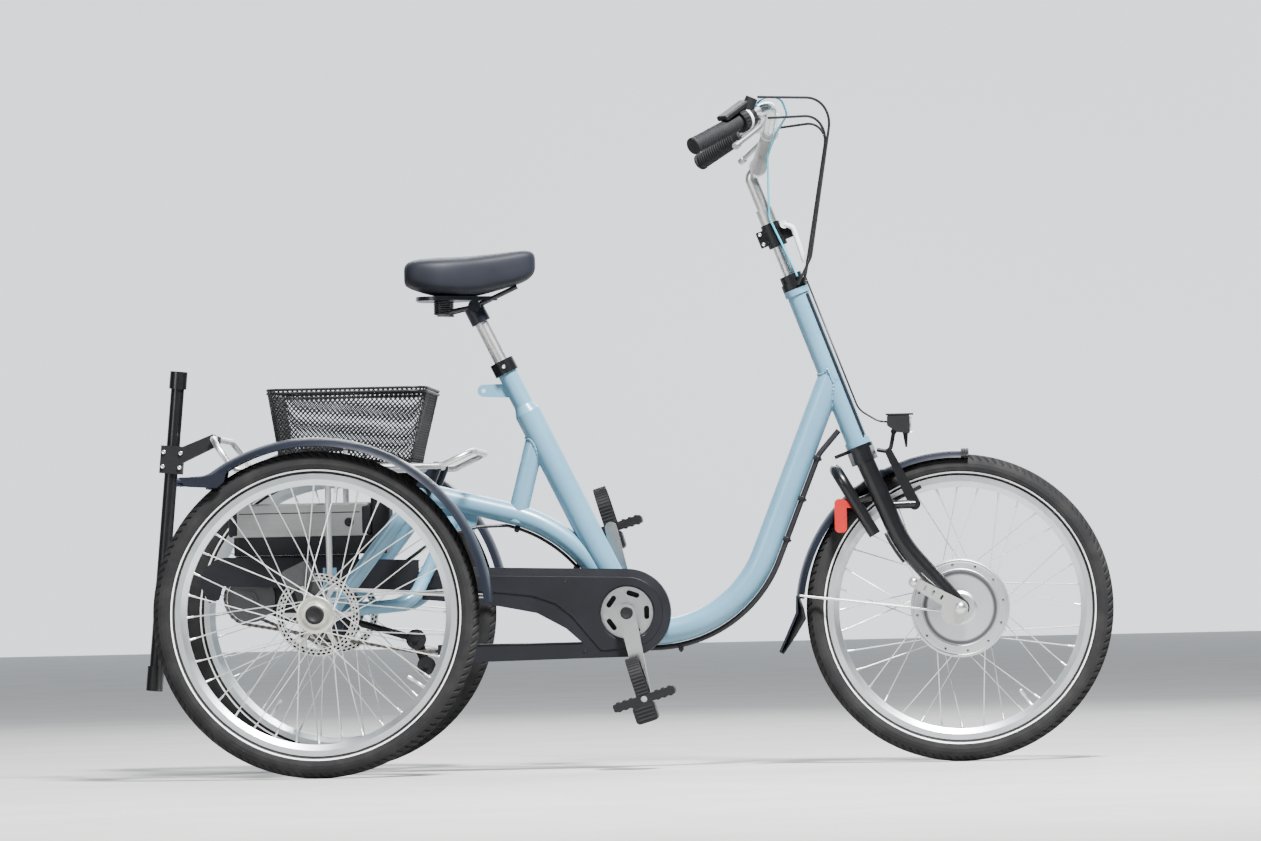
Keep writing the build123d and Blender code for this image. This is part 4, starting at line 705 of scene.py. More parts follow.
# Saddle: one padded form with a flat crown and full sides
SADDLE_STATIONS = (
    # share of length from the back, half width, underside and top above the saddle box's foot
    (0.00, 82, 23, 58),
    (0.02, 102, 19, 68),
    (0.07, 114, 14, 74),
    (0.15, 119, 7, 77),
    (0.25, 120, 1, 78),
    (0.37, 113, 0, 79),
    (0.50, 94, 0, 80),
    (0.60, 79, 4, 81.5),
    (0.70, 66, 11, 83.5),
    (0.80, 54, 17, 86),
    (0.90, 42, 25, 88.5),
    (0.96, 34, 34, 88),
    (0.99, 25, 44, 83),
    (1.00, 14, 54, 74),
)
SADDLE_AROUND = 28
SIDE_POWER = 0.56
RISE_POWER = 0.5
DISH_DEPTH = 1.6
DISH_HALF_W = 119
DISH_END = 0.6


def signed_power(value, power):
    return math.copysign(abs(value) ** power, value)


def build_saddle():
    low, high = corners_of("saddle")
    mesh = bmesh.new()
    rings = []
    for share, half_w, under, top in SADDLE_STATIONS:
        ring = []
        middle = (under + top) / 2
        for angle in turns(SADDLE_AROUND):
            y = half_w * signed_power(math.cos(angle), SIDE_POWER)
            rise = signed_power(math.sin(angle), RISE_POWER)
            dish = DISH_DEPTH * (1 - (y / DISH_HALF_W) ** 2) if rise > 0 and share < DISH_END else 0
            z = low.z + middle + (top - middle) * rise - dish
            ring.append(mesh.verts.new((low.x + (high.x - low.x) * share, y, z)))
        rings.append(ring)
    bridge(mesh, rings)
    mesh.faces.new(rings[0])
    mesh.faces.new(rings[-1][::-1])
    pad = piece("saddle_pad", mesh, saddle_vinyl, "frame", "saddle_vinyl")
    smooth = pad.modifiers.new("smooth", "SUBSURF")
    smooth.levels = 2
    smooth.render_levels = 2
    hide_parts("saddle")


build_saddle()

# Chains of separate links round their wheels
LINK_PITCH = 12.7
LINK_END_R = 3.7
LINK_WAIST = 2.7
LINK_T = 1.0
LINK_GAPS = (1.8, 2.9)
PIN_HALF_L = 3.4
PIN = ((0, 0), (0, 1.8), (1.2, 1.8), (1.2, 3.6), (5.6, 3.6), (5.6, 1.8), (6.8, 1.8), (6.8, 0))
GEAR_HUB = (-146, 347)
CHAINS = (
    # y, wheels as (x, z, pitch radius)
    (-62, ((crank.x, crank.z, 73), (*GEAR_HUB, 51), (175, 261, 24))),
    (62, ((*GEAR_HUB, 34), (0, rear_axle.z, 62))),
)


def turn_of(one, two, three):
    return (two[0] - one[0]) * (three[1] - one[1]) - (two[1] - one[1]) * (three[0] - one[0])


def tight_loop(wheels):
    """The (x, z) corners of a tight loop round some wheels."""
    cloud = []
    for x, z, radius in wheels:
        cloud += [(x + radius * math.cos(angle), z + radius * math.sin(angle)) for angle in turns(360)]
    cloud.sort()
    hull = []
    for points in (cloud, cloud[::-1]):
        half = []
        for point in points:
            while len(half) > 1 and turn_of(half[-2], half[-1], point) <= 0:
                half.pop()
            half.append(point)
        hull += half[:-1]
    return hull


def link_plate(mesh, one, two, y):
    """One side plate of a link: two round ends with a waist between them."""
    along = (two - one).normalized()
    up = along.cross(Y)
    outline = []
    for centre, way in ((two, LINK_END_R), (one, -LINK_END_R)):
        for step in range(7):
            angle = math.pi * (step / 6 - 0.5)
            outline.append(centre + (along * math.cos(angle) + up * math.sin(angle)) * way)
        outline.append((one + two) / 2 + up * math.copysign(LINK_WAIST, way))
    prism(mesh, [point + Y * (y - LINK_T / 2) for point in outline], Y * LINK_T)


links = []
for y, wheels in CHAINS:
    line = [Vector((x, y, z)) for x, z in tight_loop(wheels)]
    pins = spaced(line, 2 * round(girth(line) / LINK_PITCH / 2))
    for index, pin in enumerate(pins):
        following = pins[(index + 1) % len(pins)]
        links += [(link_plate, pin, following, side * LINK_GAPS[index % 2]) for side in BOTH]
        links.append((lathe, pin - Y * PIN_HALF_L, Y, PIN, 10))
chain = build("chain_links", links, chain_steel, "frame", "bright_steel", smooth=False)
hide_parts("chains")

# Spoke nipples where the spokes meet the rim, and a valve
SPOKE_SHORTEST = 60
SPOKE_END_BAND = 4
SPOKE_SECTORS = 72
NIPPLE = ((0, 2.6), (2, 2.6), (3, 2.0), (12, 1.9), (13.5, 1.3))
VALVE = ((0, 4.5), (2, 4.5), (3, 3.2), (24, 3.0), (25, 4.0), (37, 3.8), (39, 3.0), (39, 0))


def reach_of(spot):
    return math.hypot(spot.x, spot.z)


def build_wheel_trim(wheel, body, valve_angle):
    centre = centre_of(f"{wheel}_rim")
    hub = nodes[f"{wheel}_hub"].data
    spots = [to_mm(vertex.co) - centre for vertex in hub.vertices]
    far = max(reach_of(spot) for spot in spots)
    spokes = {}
    for edge in hub.edges:
        inner, outer = sorted((spots[index] for index in edge.vertices), key=reach_of)
        if (outer - inner).length > SPOKE_SHORTEST and reach_of(outer) > far - SPOKE_END_BAND:
            turn = math.atan2(outer.z, outer.x) / (2 * math.pi)
            spokes.setdefault(round(turn * SPOKE_SECTORS) % SPOKE_SECTORS, []).append((inner, outer))
    nipples = []
    for pairs in spokes.values():
        root, tip = (sum(ends, Vector()) / len(ends) for ends in zip(*pairs))
        nipples.append((lathe, centre + tip, root - tip, NIPPLE, 8))
    build(f"{wheel}_nipples", nipples, bright_steel, body, "bright_steel")
    out = off_axle(math.radians(valve_angle))
    valve = (lathe, centre + out * (far + 1), -out, VALVE, 14)
    build(f"{wheel}_valve", [valve], bright_steel, body, "bright_steel")


for wheel, wheel_body, valve_angle in WHEELS:
    build_wheel_trim(wheel, wheel_body, valve_angle)

# Motor cover: two raised rings and a circle of screws on each face
MOTOR_RINGS = (
    ((30, 73), (32.6, 73.6), (32.6, 76), (30, 77)),
    ((27, 91), (30.2, 91.5), (30.2, 94), (27, 95)),
)
MOTOR_SCREWS = 12
MOTOR_SCREW_TURN = 0.3
MOTOR_SCREW_CIRCLE = 85
MOTOR_FACE_Y = 30

rings = []
screws = []
for side in BOTH:
    rings += [(lathe, front_axle, Y * side, profile, 72) for profile in MOTOR_RINGS]
    for angle in turns(MOTOR_SCREWS, MOTOR_SCREW_TURN):
        place = front_axle + off_axle(angle, MOTOR_SCREW_CIRCLE) + Y * side * MOTOR_FACE_Y
        screws.append((cap_screw, place, Y * side, 2.5, 1.6))
build("motor_rings", rings, motor_grey, "front_wheel", "motor_metal")
build("motor_screws", screws, dark_alloy, "front_wheel", "bright_steel")

# Rear hubs: a pressed end cap, a pale flange face and the rotor's screws
HUB_CAP = ((46.9, 18.2), (48.4, 17.4), (48.4, 12), (47.4, 11), (47.4, 0))
FLANGE_FACE = ((32.1, 19.5), (32.6, 20), (32.6, 34.5), (32.1, 35.5))
ROTOR_SCREWS = 6
ROTOR_SCREW_CIRCLE = 22
ROTOR_SCREW_Y = 41.2

for side_name, side in SIDES:
    wheel = f"rear_{side_name}"
    body = f"rear_wheel_{side_name}"
    centre = centre_of(f"{wheel}_rim")
    out = Y * side
    face = centre - out * ROTOR_SCREW_Y
    spots = [face + off_axle(angle, ROTOR_SCREW_CIRCLE) for angle in turns(ROTOR_SCREWS)]
    screws = [(cap_screw, spot, -out, 3.2, 2.2) for spot in spots]
    build(f"{wheel}_cap", [(lathe, centre, out, HUB_CAP, 40)], dark_plastic, body, "black_plastic")
    build(f"{wheel}_flange_face", [(lathe, centre, out, FLANGE_FACE, 48)], cream_alloy, body, "bright_steel")
    build(f"{wheel}_rotor_screws", screws, bright_steel, body, "bright_steel")

# Bolts that turn with the steering, caps on the crank and screws in the chain case
CASE_OUT = -84
FORK_BOLTS = (
    # x, y, z, radius, height
    (1147, 81.2, 352, 5, 5),
    (1222, 73, 292, 4, 3.5),
)
AXLE_NUT_Y = 89.2
AXLE_NUT = ((0, 11.5), (1.5, 11.5), (5, 9.5), (7.5, 5), (8.2, 0))
CLAMP_SCREWS = ((435, -11, -26), (455, -11, -26))
CRANK_CAP_Y = 106
CRANK_CAP = ((0, 12.5), (1.6, 12), (2, 10), (1.2, 8.5), (1.2, 0))
CASE_SCREWS = ((250, -86, 374), (470, -86, 368), (505, CASE_OUT, 232), (250, CASE_OUT, 232))

bolts = [(cap_screw, on_steer(*place), -Y, 3.6, 4) for place in CLAMP_SCREWS]
for side in BOTH:
    bolts.append((lathe, front_axle + Y * side * AXLE_NUT_Y, Y * side, AXLE_NUT, 24))
    bolts += [(hex_bolt, Vector((x, side * y, z)), Y * side, *size) for x, y, z, *size in FORK_BOLTS]
caps = [(lathe, crank + Y * side * CRANK_CAP_Y, Y * side, CRANK_CAP) for side in BOTH]
screws = [(cap_screw, Vector(place), -Y, 3.2, 1.6) for place in CASE_SCREWS]
build("steering_bolts", bolts, bright_steel, "steering", "bright_steel")
build("crank_caps", caps, dark_plastic, "crank", "black_plastic")
build("case_screws", screws, dark_plastic, "frame", "black_plastic")

# Chain case: a shoulder along its top and nose, and a raised panel round the crank
CASE_RAISE = 2.4
CASE_EDGE = 1.4
NOSE_END = -70
PANEL_BACK_X = 193
SHOULDER_LINE = (401.5, 85.2)
PANEL_LINE = (386, 70)
WINDOW_R = 54
PANEL_FOOT = [(552, 232), (536, 232), (511, 262), (480, 300), (449, 325), (404, 341), (336, 349)]
PANEL_FOOT_BACK = (PANEL_BACK_X, 362)
ARM_EDGE = [Vector((222, CASE_OUT, 247.5)), Vector((500, CASE_OUT, 247.5))]
ARM_EDGE_R = 1.6


def crank_arc(radius, first, last, steps):
    """(x, z) points on an arc about the crank, angles in degrees."""
    angles = [math.radians(first + (last - first) * step / steps) for step in range(steps + 1)]
    return [(crank + off_axle(angle, radius)).xz for angle in angles]


def nose_line(back_z, radius):
    return [(PANEL_BACK_X, back_z)] + crank_arc(radius, 90, NOSE_END, 32)


def side_panel(mesh, outlines, y):
    """A plate in the side plane from closed (x, z) outlines, the later ones holes, with rounded edges."""
    curve = bpy.data.curves.new("panel", "CURVE")
    curve.dimensions = "2D"
    curve.fill_mode = "BOTH"
    curve.extrude = CASE_RAISE - CASE_EDGE
    curve.bevel_depth = CASE_EDGE
    curve.bevel_resolution = 3
    curve.offset = -CASE_EDGE
    for outline in outlines:
        spline = curve.splines.new("POLY")
        spline.points.add(len(outline) - 1)
        for point, (x, z) in zip(spline.points, outline):
            point.co = (x, z, 0, 1)
        spline.use_cyclic_u = True
    holder = bpy.data.objects.new("panel", curve)
    mesh.from_mesh(holder.to_mesh())
    holder.to_mesh_clear()
    bpy.data.objects.remove(holder)
    stand = Matrix.Translation(Y * y) @ Matrix.Rotation(math.pi / 2, 4, "X")
    bmesh.ops.transform(mesh, matrix=stand, verts=mesh.verts)


shoulder = nose_line(*SHOULDER_LINE)
inset = nose_line(*PANEL_LINE)
rims = [[(x, CASE_OUT, z) for x, z in shoulder], [(x, CASE_OUT - CASE_RAISE, z) for x, z in inset]]
outlines = (inset + PANEL_FOOT + [PANEL_FOOT_BACK], crank_arc(WINDOW_R, 0, 352.5, 47))
build("case_shoulder", [(patch, rims)], case_black, "frame", "black_plastic")
build("case_panel", [(side_panel, outlines, CASE_OUT)], case_black, "frame", "black_plastic", smooth=False)
build("case_arm_edge", [(sweep, ARM_EDGE, ARM_EDGE_R, 10)], case_black, "frame", "black_plastic")

# Rear mudguards' tabs: a turned-down flank each side; the stick holder's clamp screws; the seat collar's bolt
TAB_FLANK = ((-256, 583), (-212, 583), (-165, 592), (-170, 572), (-184, 561), (-246, 565))
FLANKS_Y = (-360, -292, 290, 358)
FLANK_T = 2
STICK_FOOT = Vector((-331, -167, 172))
STICK_AHEAD = off_axle(math.radians(-5.6))
STICK_UP = STICK_AHEAD.cross(Y)
STICK_SCREWS = ((-16, 436), (-16, 464), (17, 436), (17, 464))

flanks = [(prism, [Vector((x, y, z)) for x, z in TAB_FLANK], Y * FLANK_T) for y in FLANKS_Y]
collar = centre_of("seat_collar")
collar.y = corners_of("seat_collar")[0].y
spots = [STICK_FOOT + STICK_AHEAD * ahead + STICK_UP * up for ahead, up in STICK_SCREWS]
screws = [(cap_screw, spot, -Y, 4, 3.5) for spot in spots] + [(cap_screw, collar, -Y, 3.5, 2)]
build("guard_tab_flanks", flanks, guard_black, "frame", "black_paint", smooth=False)
build("rear_screws", screws, bright_steel, "frame", "bright_steel")

# Cables under the arch tube, and the clips that hold them and the bundle under the down tube
ARCH_LINE = ((566, 324), (474, 475), (192, 546))
ARCH_BEND = 285
ARCH_CABLE_OFF = 25
ARCH_CABLES = (
    # y, radius
    (-3.6, 3.2),
    (3.6, 2.5),
)
ARCH_START = Vector((575, -10, 304))
ARCH_TAIL = [Vector((300, -12, 478)), Vector((225, -40, 462)), Vector((150, -58, 408))]
ARCH_TAIL_BEND = 60
ARCH_CLIPS = (5, 19)
DOWN_TOP = on_steer(146)
DOWN_CORNER = Vector((798, 0, 265))
DOWN_CLIPS = (0.3, 0.46, 0.62)
LEVEL_CLIPS = (690, 620)
BUNDLE_OFF = 31.1
CLIP_RING = ((-5, 5.6), (-4.4, 6.8), (4.4, 6.8), (5, 5.6))
CLIP_OUT = 7.4
CLIP_KNOB = (2.4, 3.4, 1.8)
CLIP_EAR_RISE = 4.6
CLIP_EAR = (3.4, 1.6, 3.6)


def arch_cable(y):
    """A cable's path from the crank shell along the arch tube's underside, to the arch's rear end."""
    foot, corner, top = (Vector((x, y, z)) for x, z in ARCH_LINE)
    back = (foot - corner).normalized()
    ahead = (top - corner).normalized()
    inward = (back + ahead).normalized()
    low = foot + (inward - back * inward.dot(back)).normalized() * ARCH_CABLE_OFF
    high = top + (inward - ahead * inward.dot(ahead)).normalized() * ARCH_CABLE_OFF
    corner += inward * ARCH_CABLE_OFF / math.sin(back.angle(ahead) / 2)
    return bent(low, corner, high, ARCH_BEND - ARCH_CABLE_OFF)


cables = []
for y, radius in ARCH_CABLES:
    path = arch_cable(y)[:-1]
    tail = rounded(path[-1:] + [place + Y * y for place in ARCH_TAIL], ARCH_TAIL_BEND)
    cables.append((sweep, [ARCH_START + Y * y] + path[:-1] + tail, radius, 10))
build("arch_cables", cables, cable_black, "frame", "black_plastic")

down = (DOWN_CORNER - DOWN_TOP).normalized()
under = down.cross(Y)
places = [(DOWN_TOP.lerp(DOWN_CORNER, share) + under * BUNDLE_OFF, down, under) for share in DOWN_CLIPS]
places += [(Vector((x, 0, DOWN_CORNER.z - BUNDLE_OFF)), -X, -Z) for x in LEVEL_CLIPS]
arch = arch_cable(0)
for index in ARCH_CLIPS:
    way = (arch[index + 1] - arch[index - 1]).normalized()
    places.append((arch[index], way, Y.cross(way)))
clips = []
for middle, way, below in places:
    clips.append((lathe, middle, way, CLIP_RING, 20))
    clips.append((block, middle + below * CLIP_OUT, way, Y, CLIP_KNOB))
    for side in BOTH:
        clips.append((block, middle - below * CLIP_EAR_RISE + Y * side * CLIP_OUT, way, Y, CLIP_EAR))
build("cable_clips", clips, dark_plastic, "frame", "black_plastic", smooth=False, bevel=(0.5, 1))

# Grips: moulded ridges and an end flange; the shifter's pale ring, ribs and lid, by distance in from the tip
GRIP_TIP = (741, 300, 1198)
GRIP_ELBOW = (893, 148, 1285)
GRIP_RIDGES = [14 + 6.2 * step for step in range(17)]
GRIP_RIDGE = ((-1.9, 15.4), (-1.2, 16.4), (1.2, 16.4), (1.9, 15.4))
GRIP_FLANGE = ((0.2, 0), (0.2, 15), (1.2, 17), (4, 17.4), (6, 17), (7, 15.4))
SHIFTER_RING = ((149, 22), (149.6, 22.7), (154.4, 22.7), (155, 22))
SHIFTER_RIBS = 20
SHIFTER_RIBS_AT = 140
SHIFTER_R = 22
SHIFTER_RIB = (6, 1.3, 1.2)
SHIFTER_LID_AT = 130
SHIFTER_LID_RISE = 25
SHIFTER_LID_TILT = 0.12
SHIFTER_LID = (37, 15, 5.5)


def grip_line(side):
    """A grip's tip and the direction from it along the bar."""
    tip, elbow = (Vector((x, side * y, z)) for x, y, z in (GRIP_TIP, GRIP_ELBOW))
    return tip, (elbow - tip).normalized()


ridges = []
for side in BOTH:
    tip, way = grip_line(side)
    ridges += [(lathe, tip + way * inward, way, GRIP_RIDGE, 28) for inward in GRIP_RIDGES]
    ridges.append((lathe, tip, way, GRIP_FLANGE))
build("grip_ridges", ridges, grip_rubber, "steering", "grip_rubber")

tip, way = grip_line(RIGHT)
middle = tip + way * SHIFTER_RIBS_AT
spots = circle(middle, *crosswise(way), SHIFTER_R, SHIFTER_RIBS)
ribs = [(block, spot, way, (spot - middle).cross(way), SHIFTER_RIB) for spot in spots]
above = (Z - way * Z.dot(way)).normalized()
lid_at = tip + way * SHIFTER_LID_AT + above * SHIFTER_LID_RISE
lid = (block, lid_at, way + above * SHIFTER_LID_TILT, way.cross(above), SHIFTER_LID)
build("shifter_ring", [(lathe, tip, way, SHIFTER_RING, 40)], ring_white, "steering", "black_plastic")
build("shifter_ribs", ribs, grip_rubber, "steering", "black_plastic", smooth=False)
build("shifter_lid", [lid], dark_plastic, "steering", "black_plastic", smooth=False, bevel=(4, 3))

# Battery: end caps, a lid line and a lock
BATTERY_CAP = (9.6, 52.5, 29)
BATTERY_CAP_IN = 9
BATTERY_CAP_DROP = 2
LID_LINE = (118, 0.5, 0.9)
LID_LINE_Y = 52.1
LID_LINE_DROP = 19
LOCK = ((-1, 9), (1.2, 9), (1.8, 7.5), (1.8, 3), (0.6, 2.6), (0.6, 0))
LOCK_IN = 42
LOCK_DROP = 6

low, high = corners_of("battery")
middle = (low + high) / 2
caps = []
for x in (low.x + BATTERY_CAP_IN, high.x - BATTERY_CAP_IN):
    caps.append((block, Vector((x, middle.y, middle.z - BATTERY_CAP_DROP)), X, Y, BATTERY_CAP))
build("battery_caps", caps, case_black, "frame", "alloy", smooth=False, bevel=(4, 3))
trim = [(lathe, Vector((high.x - LOCK_IN, low.y, middle.z - LOCK_DROP)), -Y, LOCK, 24)]
for side in BOTH:
    trim.append((block, Vector((middle.x, side * LID_LINE_Y, high.z - LID_LINE_DROP)), X, Y, LID_LINE))
build("battery_lid_line", trim, dark_plastic, "frame", "black_plastic", smooth=False)

# Pedals: treads on the platform, and ribs on the strap and the weight
PEDAL_AHEAD = off_axle(math.radians(17))
PEDAL_UP = PEDAL_AHEAD.cross(Y)
TREADS_AHEAD = (-52, -39, -26, 26, 39, 52)
TREADS = (
    # up, half sizes
    (8.4, (2.6, 42, 1.6)),
    (-8.4, (2.6, 42, 1.2)),
)
PEDAL_ENDS = (-62, 62)
PEDAL_END = (0.8, 30, 3.2)
STRAP_HALF = 46
STRAP_LEG = 37
STRAP_LENGTH = 2 * STRAP_LEG + math.pi * STRAP_HALF
STRAP_RIBS = 30
STRAP_MARGIN = 11
STRAP_RIB = (12.4, 1.2, 1.6)
WEIGHT_BACK = 6
WEIGHT_RIBS_DOWN = (16, 23.4, 30.8, 38.2)
WEIGHT_RIB = (17, 1.2, 1.6)


def strap_place(distance):
    """A place on a strap's face off the pedal's middle, and its outward direction, by distance along it."""
    far = STRAP_LENGTH - distance
    if min(distance, far) < STRAP_LEG:
        out = Y if distance < far else -Y
        return out * STRAP_HALF + PEDAL_UP * min(distance, far), out
    angle = (distance - STRAP_LEG) / STRAP_HALF
    out = Y * math.cos(angle) + PEDAL_UP * math.sin(angle)
    return out * STRAP_HALF + PEDAL_UP * STRAP_LEG, out


def build_pedal_trim(body):
    middle = joint_at(f"{body}_spin")
    rows = []
    for along in TREADS_AHEAD:
        rows += [(PEDAL_AHEAD * along + PEDAL_UP * rise, Y, half_sizes) for rise, half_sizes in TREADS]
    rows += [(PEDAL_AHEAD * along, Y, PEDAL_END) for along in PEDAL_ENDS]
    for step in range(STRAP_RIBS):
        share = step / (STRAP_RIBS - 1)
        place, out = strap_place(STRAP_MARGIN + (STRAP_LENGTH - 2 * STRAP_MARGIN) * share)
        rows.append((place, out, STRAP_RIB))
    for face in (-STRAP_HALF, STRAP_HALF):
        for down in WEIGHT_RIBS_DOWN:
            rows.append((Y * face - PEDAL_AHEAD * WEIGHT_BACK - PEDAL_UP * down, Y, WEIGHT_RIB))
    shapes = [(block, middle + offset, PEDAL_AHEAD, across, halves) for offset, across, halves in rows]
    build(f"{body}_treads", shapes, grip_rubber, body, "black_plastic", smooth=False, bevel=(0.6, 1))


for side_name, side in SIDES:
    build_pedal_trim(f"pedal_{side_name}")

# Saddle springs: two coils under the pad
SPRING_FOOT = Vector((239.2, 52, 893.5))
SPRING_RISE = 26
SPRING_R = 15.4
SPRING_WIRE_R = 2.1
SPRING_TURNS = 6
SPRING_STEPS = 16

coils = []
for side in BOTH:
    points = []
    for step in range(SPRING_TURNS * SPRING_STEPS + 1):
        turn = step / SPRING_STEPS
        x = SPRING_FOOT.x + SPRING_R * math.cos(2 * math.pi * turn)
        y = side * SPRING_FOOT.y + SPRING_R * math.sin(2 * math.pi * turn)
        points.append(Vector((x, y, SPRING_FOOT.z + SPRING_RISE * turn / SPRING_TURNS)))
    coils.append((sweep, points, SPRING_WIRE_R))
build("saddle_springs", coils, gloss_black, "frame", "black_paint")

# Cables: the motor lead behind the right fork leg, the shift cable and the lead to the lamp
LEG_LINE = [on_steer(-16, -60), Vector((1127, -60, 426)), Vector((1231, -60, 307))]
LEG_BEND = 240
LEG_STEPS = 16
MOTOR_LEAD_BACK = 21.4
MOTOR_LEAD_OUT = 4
MOTOR_LEAD_R = 3.2
SHIFT_AT = 160
SHIFT_LOOP = ((10, 0, 16), (30, 8, 38), (64, 26, 38), (76, 50, 6))
SHIFT_STEM = [Vector((897, -40, 1232)), Vector((880, -27, 1190))]
SHIFT_COLUMN = ((480, -22, 4), (472, -22, 4), (366, -19, 12), (352, -24, 12))
SHIFT_BEND = 30
SHIFT_R = 2.2
LAMP_LEAD = [on_steer(350, 7, 26.5), on_steer(66, 7, 26.5), Vector((1085, 4, 668)), Vector((1103, 0, 666))]
LAMP_LEAD_BEND = 40
LAMP_LEAD_R = 2.0
TIES_UP = (338, 346)
TIE_REACH = 26.4
TIE_R = 1.4

leg = rounded(LEG_LINE, LEG_BEND, LEG_STEPS)
lead = []
for before, point, after in zip(leg[1:], leg[2:-3], leg[3:]):
    along = (after - before).normalized()
    lead.append(point + Y.cross(along) * MOTOR_LEAD_BACK - Y * MOTOR_LEAD_OUT)
build("motor_lead", [(sweep, lead, MOTOR_LEAD_R, 10)], cable_black, "steering", "black_plastic")
tip, way = grip_line(RIGHT)
route = [tip + way * SHIFT_AT + Vector(move) for move in SHIFT_LOOP]
route += SHIFT_STEM + [on_steer(*place) for place in SHIFT_COLUMN]
shift_cable = (sweep, rounded(route, SHIFT_BEND), SHIFT_R, 10)
build("shift_cable", [shift_cable], blue_sleeve, "steering", "black_plastic")
leads = [(sweep, rounded(LAMP_LEAD, LAMP_LEAD_BEND), LAMP_LEAD_R, 10)]
angles = [step / 8 for step in range(-6, 7)]
for up in TIES_UP:
    tie = [on_steer(up, TIE_REACH * math.sin(angle), TIE_REACH * math.cos(angle)) for angle in angles]
    leads.append((sweep, tie, TIE_R))
build("lamp_lead", leads, cable_black, "steering", "black_plastic")

# Front mudguard: a bowed rubber flap below it and a clip over its front end
FLAP_ROWS = (
    # x, z, half width, depth of the bow
    (918, 330, 30, 5),
    (919, 310, 31, 12),
    (918, 292, 31, 17),
    (902, 256, 27, 12),
    (884, 219.5, 20, 6),
)
FLAP_SHARES = [step / 4 - 1 for step in range(9)]
FLAP_DROOP = 0.45
FLAP_T = 2.2
CLIP_ROWS_X = (1247, 1251, 1255, 1258)
CLIP_SHARES = [step / 8 for step in range(-8, 9)]
CLIP_HALF_W = 30.4
CLIP_Z = 609.8
CLIP_DROP = 16
CLIP_R = 2.2

rows = []
for x, z, wing, depth in FLAP_ROWS:
    bows = [(depth * share ** 2, wing * share) for share in FLAP_SHARES]
    rows.append([(x + bow, y, z - FLAP_DROOP * bow) for bow, y in bows])
flap = build("guard_flap", [(patch, rows)], dark_plastic, "steering", "black_paint")
solid = flap.modifiers.new("thickness", "SOLIDIFY")
solid.thickness = FLAP_T * MM
solid.offset = 0
arches = []
for x in CLIP_ROWS_X:
    arch = [Vector((x, CLIP_HALF_W * share, CLIP_Z - CLIP_DROP * share ** 2)) for share in CLIP_SHARES]
    arches.append((sweep, arch, CLIP_R))
build("guard_clip", arches, dark_plastic, "steering", "black_paint")

# Lamp: a bright bowl seen through its glass
LAMP_BOWL = ((0.3, 0), (0.4, 4), (0.9, 9), (1.6, 13.5))

place = centre_of("lamp_lens")
place.x = corners_of("lamp_lens")[0].x
build("lamp_bowl", [(lathe, place, X, LAMP_BOWL)], chrome, "steering", "bright_steel")

# Weld beads where the tubes meet
BEAD_R = 2.4
BEAD_SCALLOP = 0.12
BEAD_STEPS = 96
BEAD_LONGEST = 14
SEAT_FOOT = Vector((591, 0, 304))
SEAT_WAY = off_axle(math.radians(180 - 64.1))
SEAT_R = 25.5
BRACE_FOOT = Vector((372, 0, 486))
BRACE_TOP = SEAT_FOOT + SEAT_WAY * 398
BRACE_R = 19
DOWN_R = 25
HEAD_R = 22


def weld_bead(mesh, start, end, radius, other_start, other_along, other_radius):
    """A scalloped bead where one round tube runs into another, found along lines of the first tube's wall."""
    along = (end - start).normalized()
    flat_way = along - other_along * along.dot(other_along)
    a = flat_way.dot(flat_way)
    points = []
    for line in circle(start, *crosswise(along), radius, BEAD_STEPS):
        gap = line - other_start
        flat_gap = gap - other_along * gap.dot(other_along)
        b = flat_gap.dot(flat_way)
        c = flat_gap.dot(flat_gap) - other_radius ** 2
        points.append(line + along * ((-b - math.sqrt(max(b * b - a * c, 0))) / a))
    for index, point in enumerate(points):
        lump = BEAD_R * (1 + BEAD_SCALLOP * math.cos(index * math.pi / 2))
        following = points[(index + 1) % BEAD_STEPS]
        if (following - point).length < BEAD_LONGEST:
            sweep(mesh, [point, following], lump, 7)


beads = (
    (weld_bead, BRACE_FOOT, BRACE_TOP, BRACE_R, SEAT_FOOT, SEAT_WAY, SEAT_R),
    (weld_bead, DOWN_CORNER, DOWN_TOP, DOWN_R, head, steer_axis, HEAD_R),
)
build("weld_beads", beads, frame_blue, "frame", "frame_paint")

# Stage: floor, sky and lights
FLOOR_REACH = 60
SKY_REACH = 40
SKY_Y = 24
SKY_LOW = -4
SKY_HIGH = 30
LIGHTS = (
    # name, place, aim, size, watts
    ("key", (1.4, -2.8, 5.2), (0.0, 0, 0.5), 1.0, 1800),
    ("fill", (-3.8, -4.5, 2.0), (0, 0, 0.5), 2.0, 110),
    ("back", (0.2, 4.0, 3.4), (0, 0, 0.6), 3.0, 260),
)


def stage_face(name, corners, shader):
    """A four-cornered face that belongs to the stage."""
    mesh = bpy.data.meshes.new(name)
    mesh.from_pydata(corners, [], [(0, 1, 2, 3)])
    mesh.materials.append(shader.material)
    made = bpy.data.objects.new(name, mesh)
    bpy.context.scene.collection.objects.link(made)


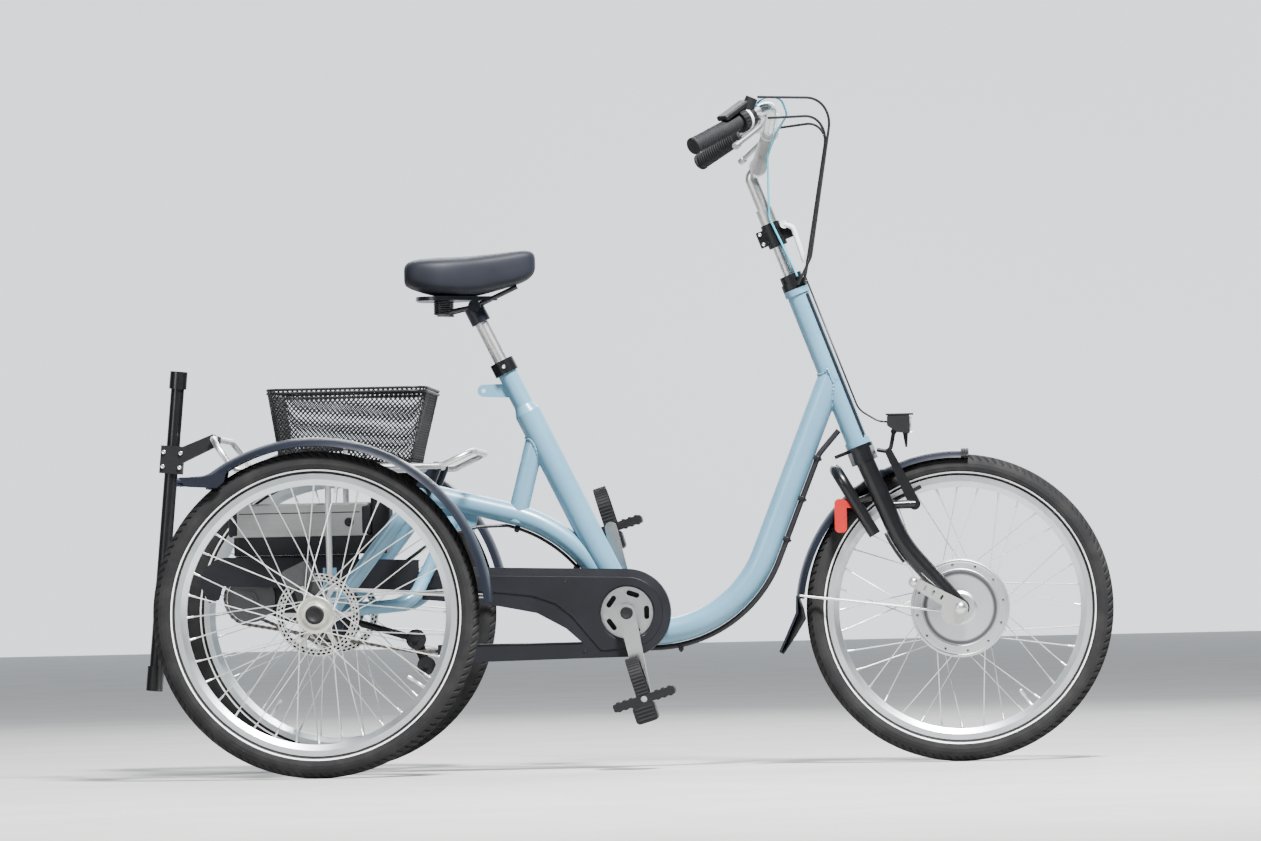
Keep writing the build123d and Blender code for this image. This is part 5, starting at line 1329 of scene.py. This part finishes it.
def build_stage():
    shader = Shader("floor_pale")
    shader.colour(shader.noise(3, 4), (0.36, 0.36, 0.35), (0.4, 0.4, 0.39))
    shader.rough(shader.noise(8, 3), 0.7, 0.85)
    corners = [(-1, -1, 0), (1, -1, 0), (1, 1, 0), (-1, 1, 0)]
    stage_face("floor", [Vector(corner) * FLOOR_REACH for corner in corners], shader)
    world = bpy.data.worlds.new("studio")
    world.use_nodes = True
    background = world.node_tree.nodes["Background"]
    background.inputs["Color"].default_value = (0.80, 0.85, 0.92, 1)
    background.inputs["Strength"].default_value = 0.15
    bpy.context.scene.world = world
    shader = Shader("sky_glow", Emission_Strength=1.9)
    shader.colour(shader.noise(0.2, 2), (0.5, 0.5, 0.5), (0.52, 0.52, 0.52))
    glow = shader.ramp(shader.noise(0.12, 2), ((0.3, (0.66, 0.72, 0.8)), (0.7, (0.8, 0.83, 0.88))))
    shader.feed(shader.surface, "Emission Color", glow)
    low = [(x, SKY_Y, SKY_LOW) for x in (-SKY_REACH, SKY_REACH)]
    high = [(x, SKY_Y, SKY_HIGH) for x in (SKY_REACH, -SKY_REACH)]
    stage_face("sky", low + high, shader)
    for name, place, aim, size, watts in LIGHTS:
        data = bpy.data.lights.new(name, "AREA")
        data.size = size
        data.energy = watts
        light = bpy.data.objects.new(name, data)
        light.location = place
        light.rotation_euler = (Vector(aim) - Vector(place)).to_track_quat("-Z", "Y").to_euler()
        bpy.context.scene.collection.objects.link(light)


build_stage()

# Camera: a long lens level with the wheels, fitted to places measured in the picture's pixels
PHOTO_W = 1261
PHOTO_H = 841
PIXELS_PER_METRE = 511
CAMERA_DISTANCE = 15.4
LEVEL_PIXEL = (885, 559)
REAR_AXLE_FOOT = (331.4, 774.5)
ROLL = math.radians(1.26)
SENSOR = 36
CLIP_END = 300


def build_camera():
    focal = PIXELS_PER_METRE * CAMERA_DISTANCE
    flat_right = off_axle(-ROLL)
    flat_up = flat_right.cross(Y)
    across = LEVEL_PIXEL[0] - REAR_AXLE_FOOT[0]
    down = LEVEL_PIXEL[1] - REAR_AXLE_FOOT[1]
    place = origin - Y * CAMERA_DISTANCE + (flat_right * across - flat_up * down) / PIXELS_PER_METRE
    look = flat_right * (PHOTO_W / 2 - LEVEL_PIXEL[0]) - flat_up * (PHOTO_H / 2 - LEVEL_PIXEL[1]) + Y * focal
    look.normalize()
    right = (flat_right - look * flat_right.dot(look)).normalized()
    data = bpy.data.cameras.new("camera")
    data.sensor_fit = "HORIZONTAL"
    data.sensor_width = SENSOR
    data.lens = SENSOR * focal / PHOTO_W
    data.clip_end = CLIP_END
    camera = bpy.data.objects.new("camera", data)
    turn = Matrix((right, right.cross(look), -look)).transposed().to_4x4()
    camera.matrix_world = Matrix.Translation(place) @ turn
    bpy.context.scene.collection.objects.link(camera)
    bpy.context.scene.camera = camera


build_camera()
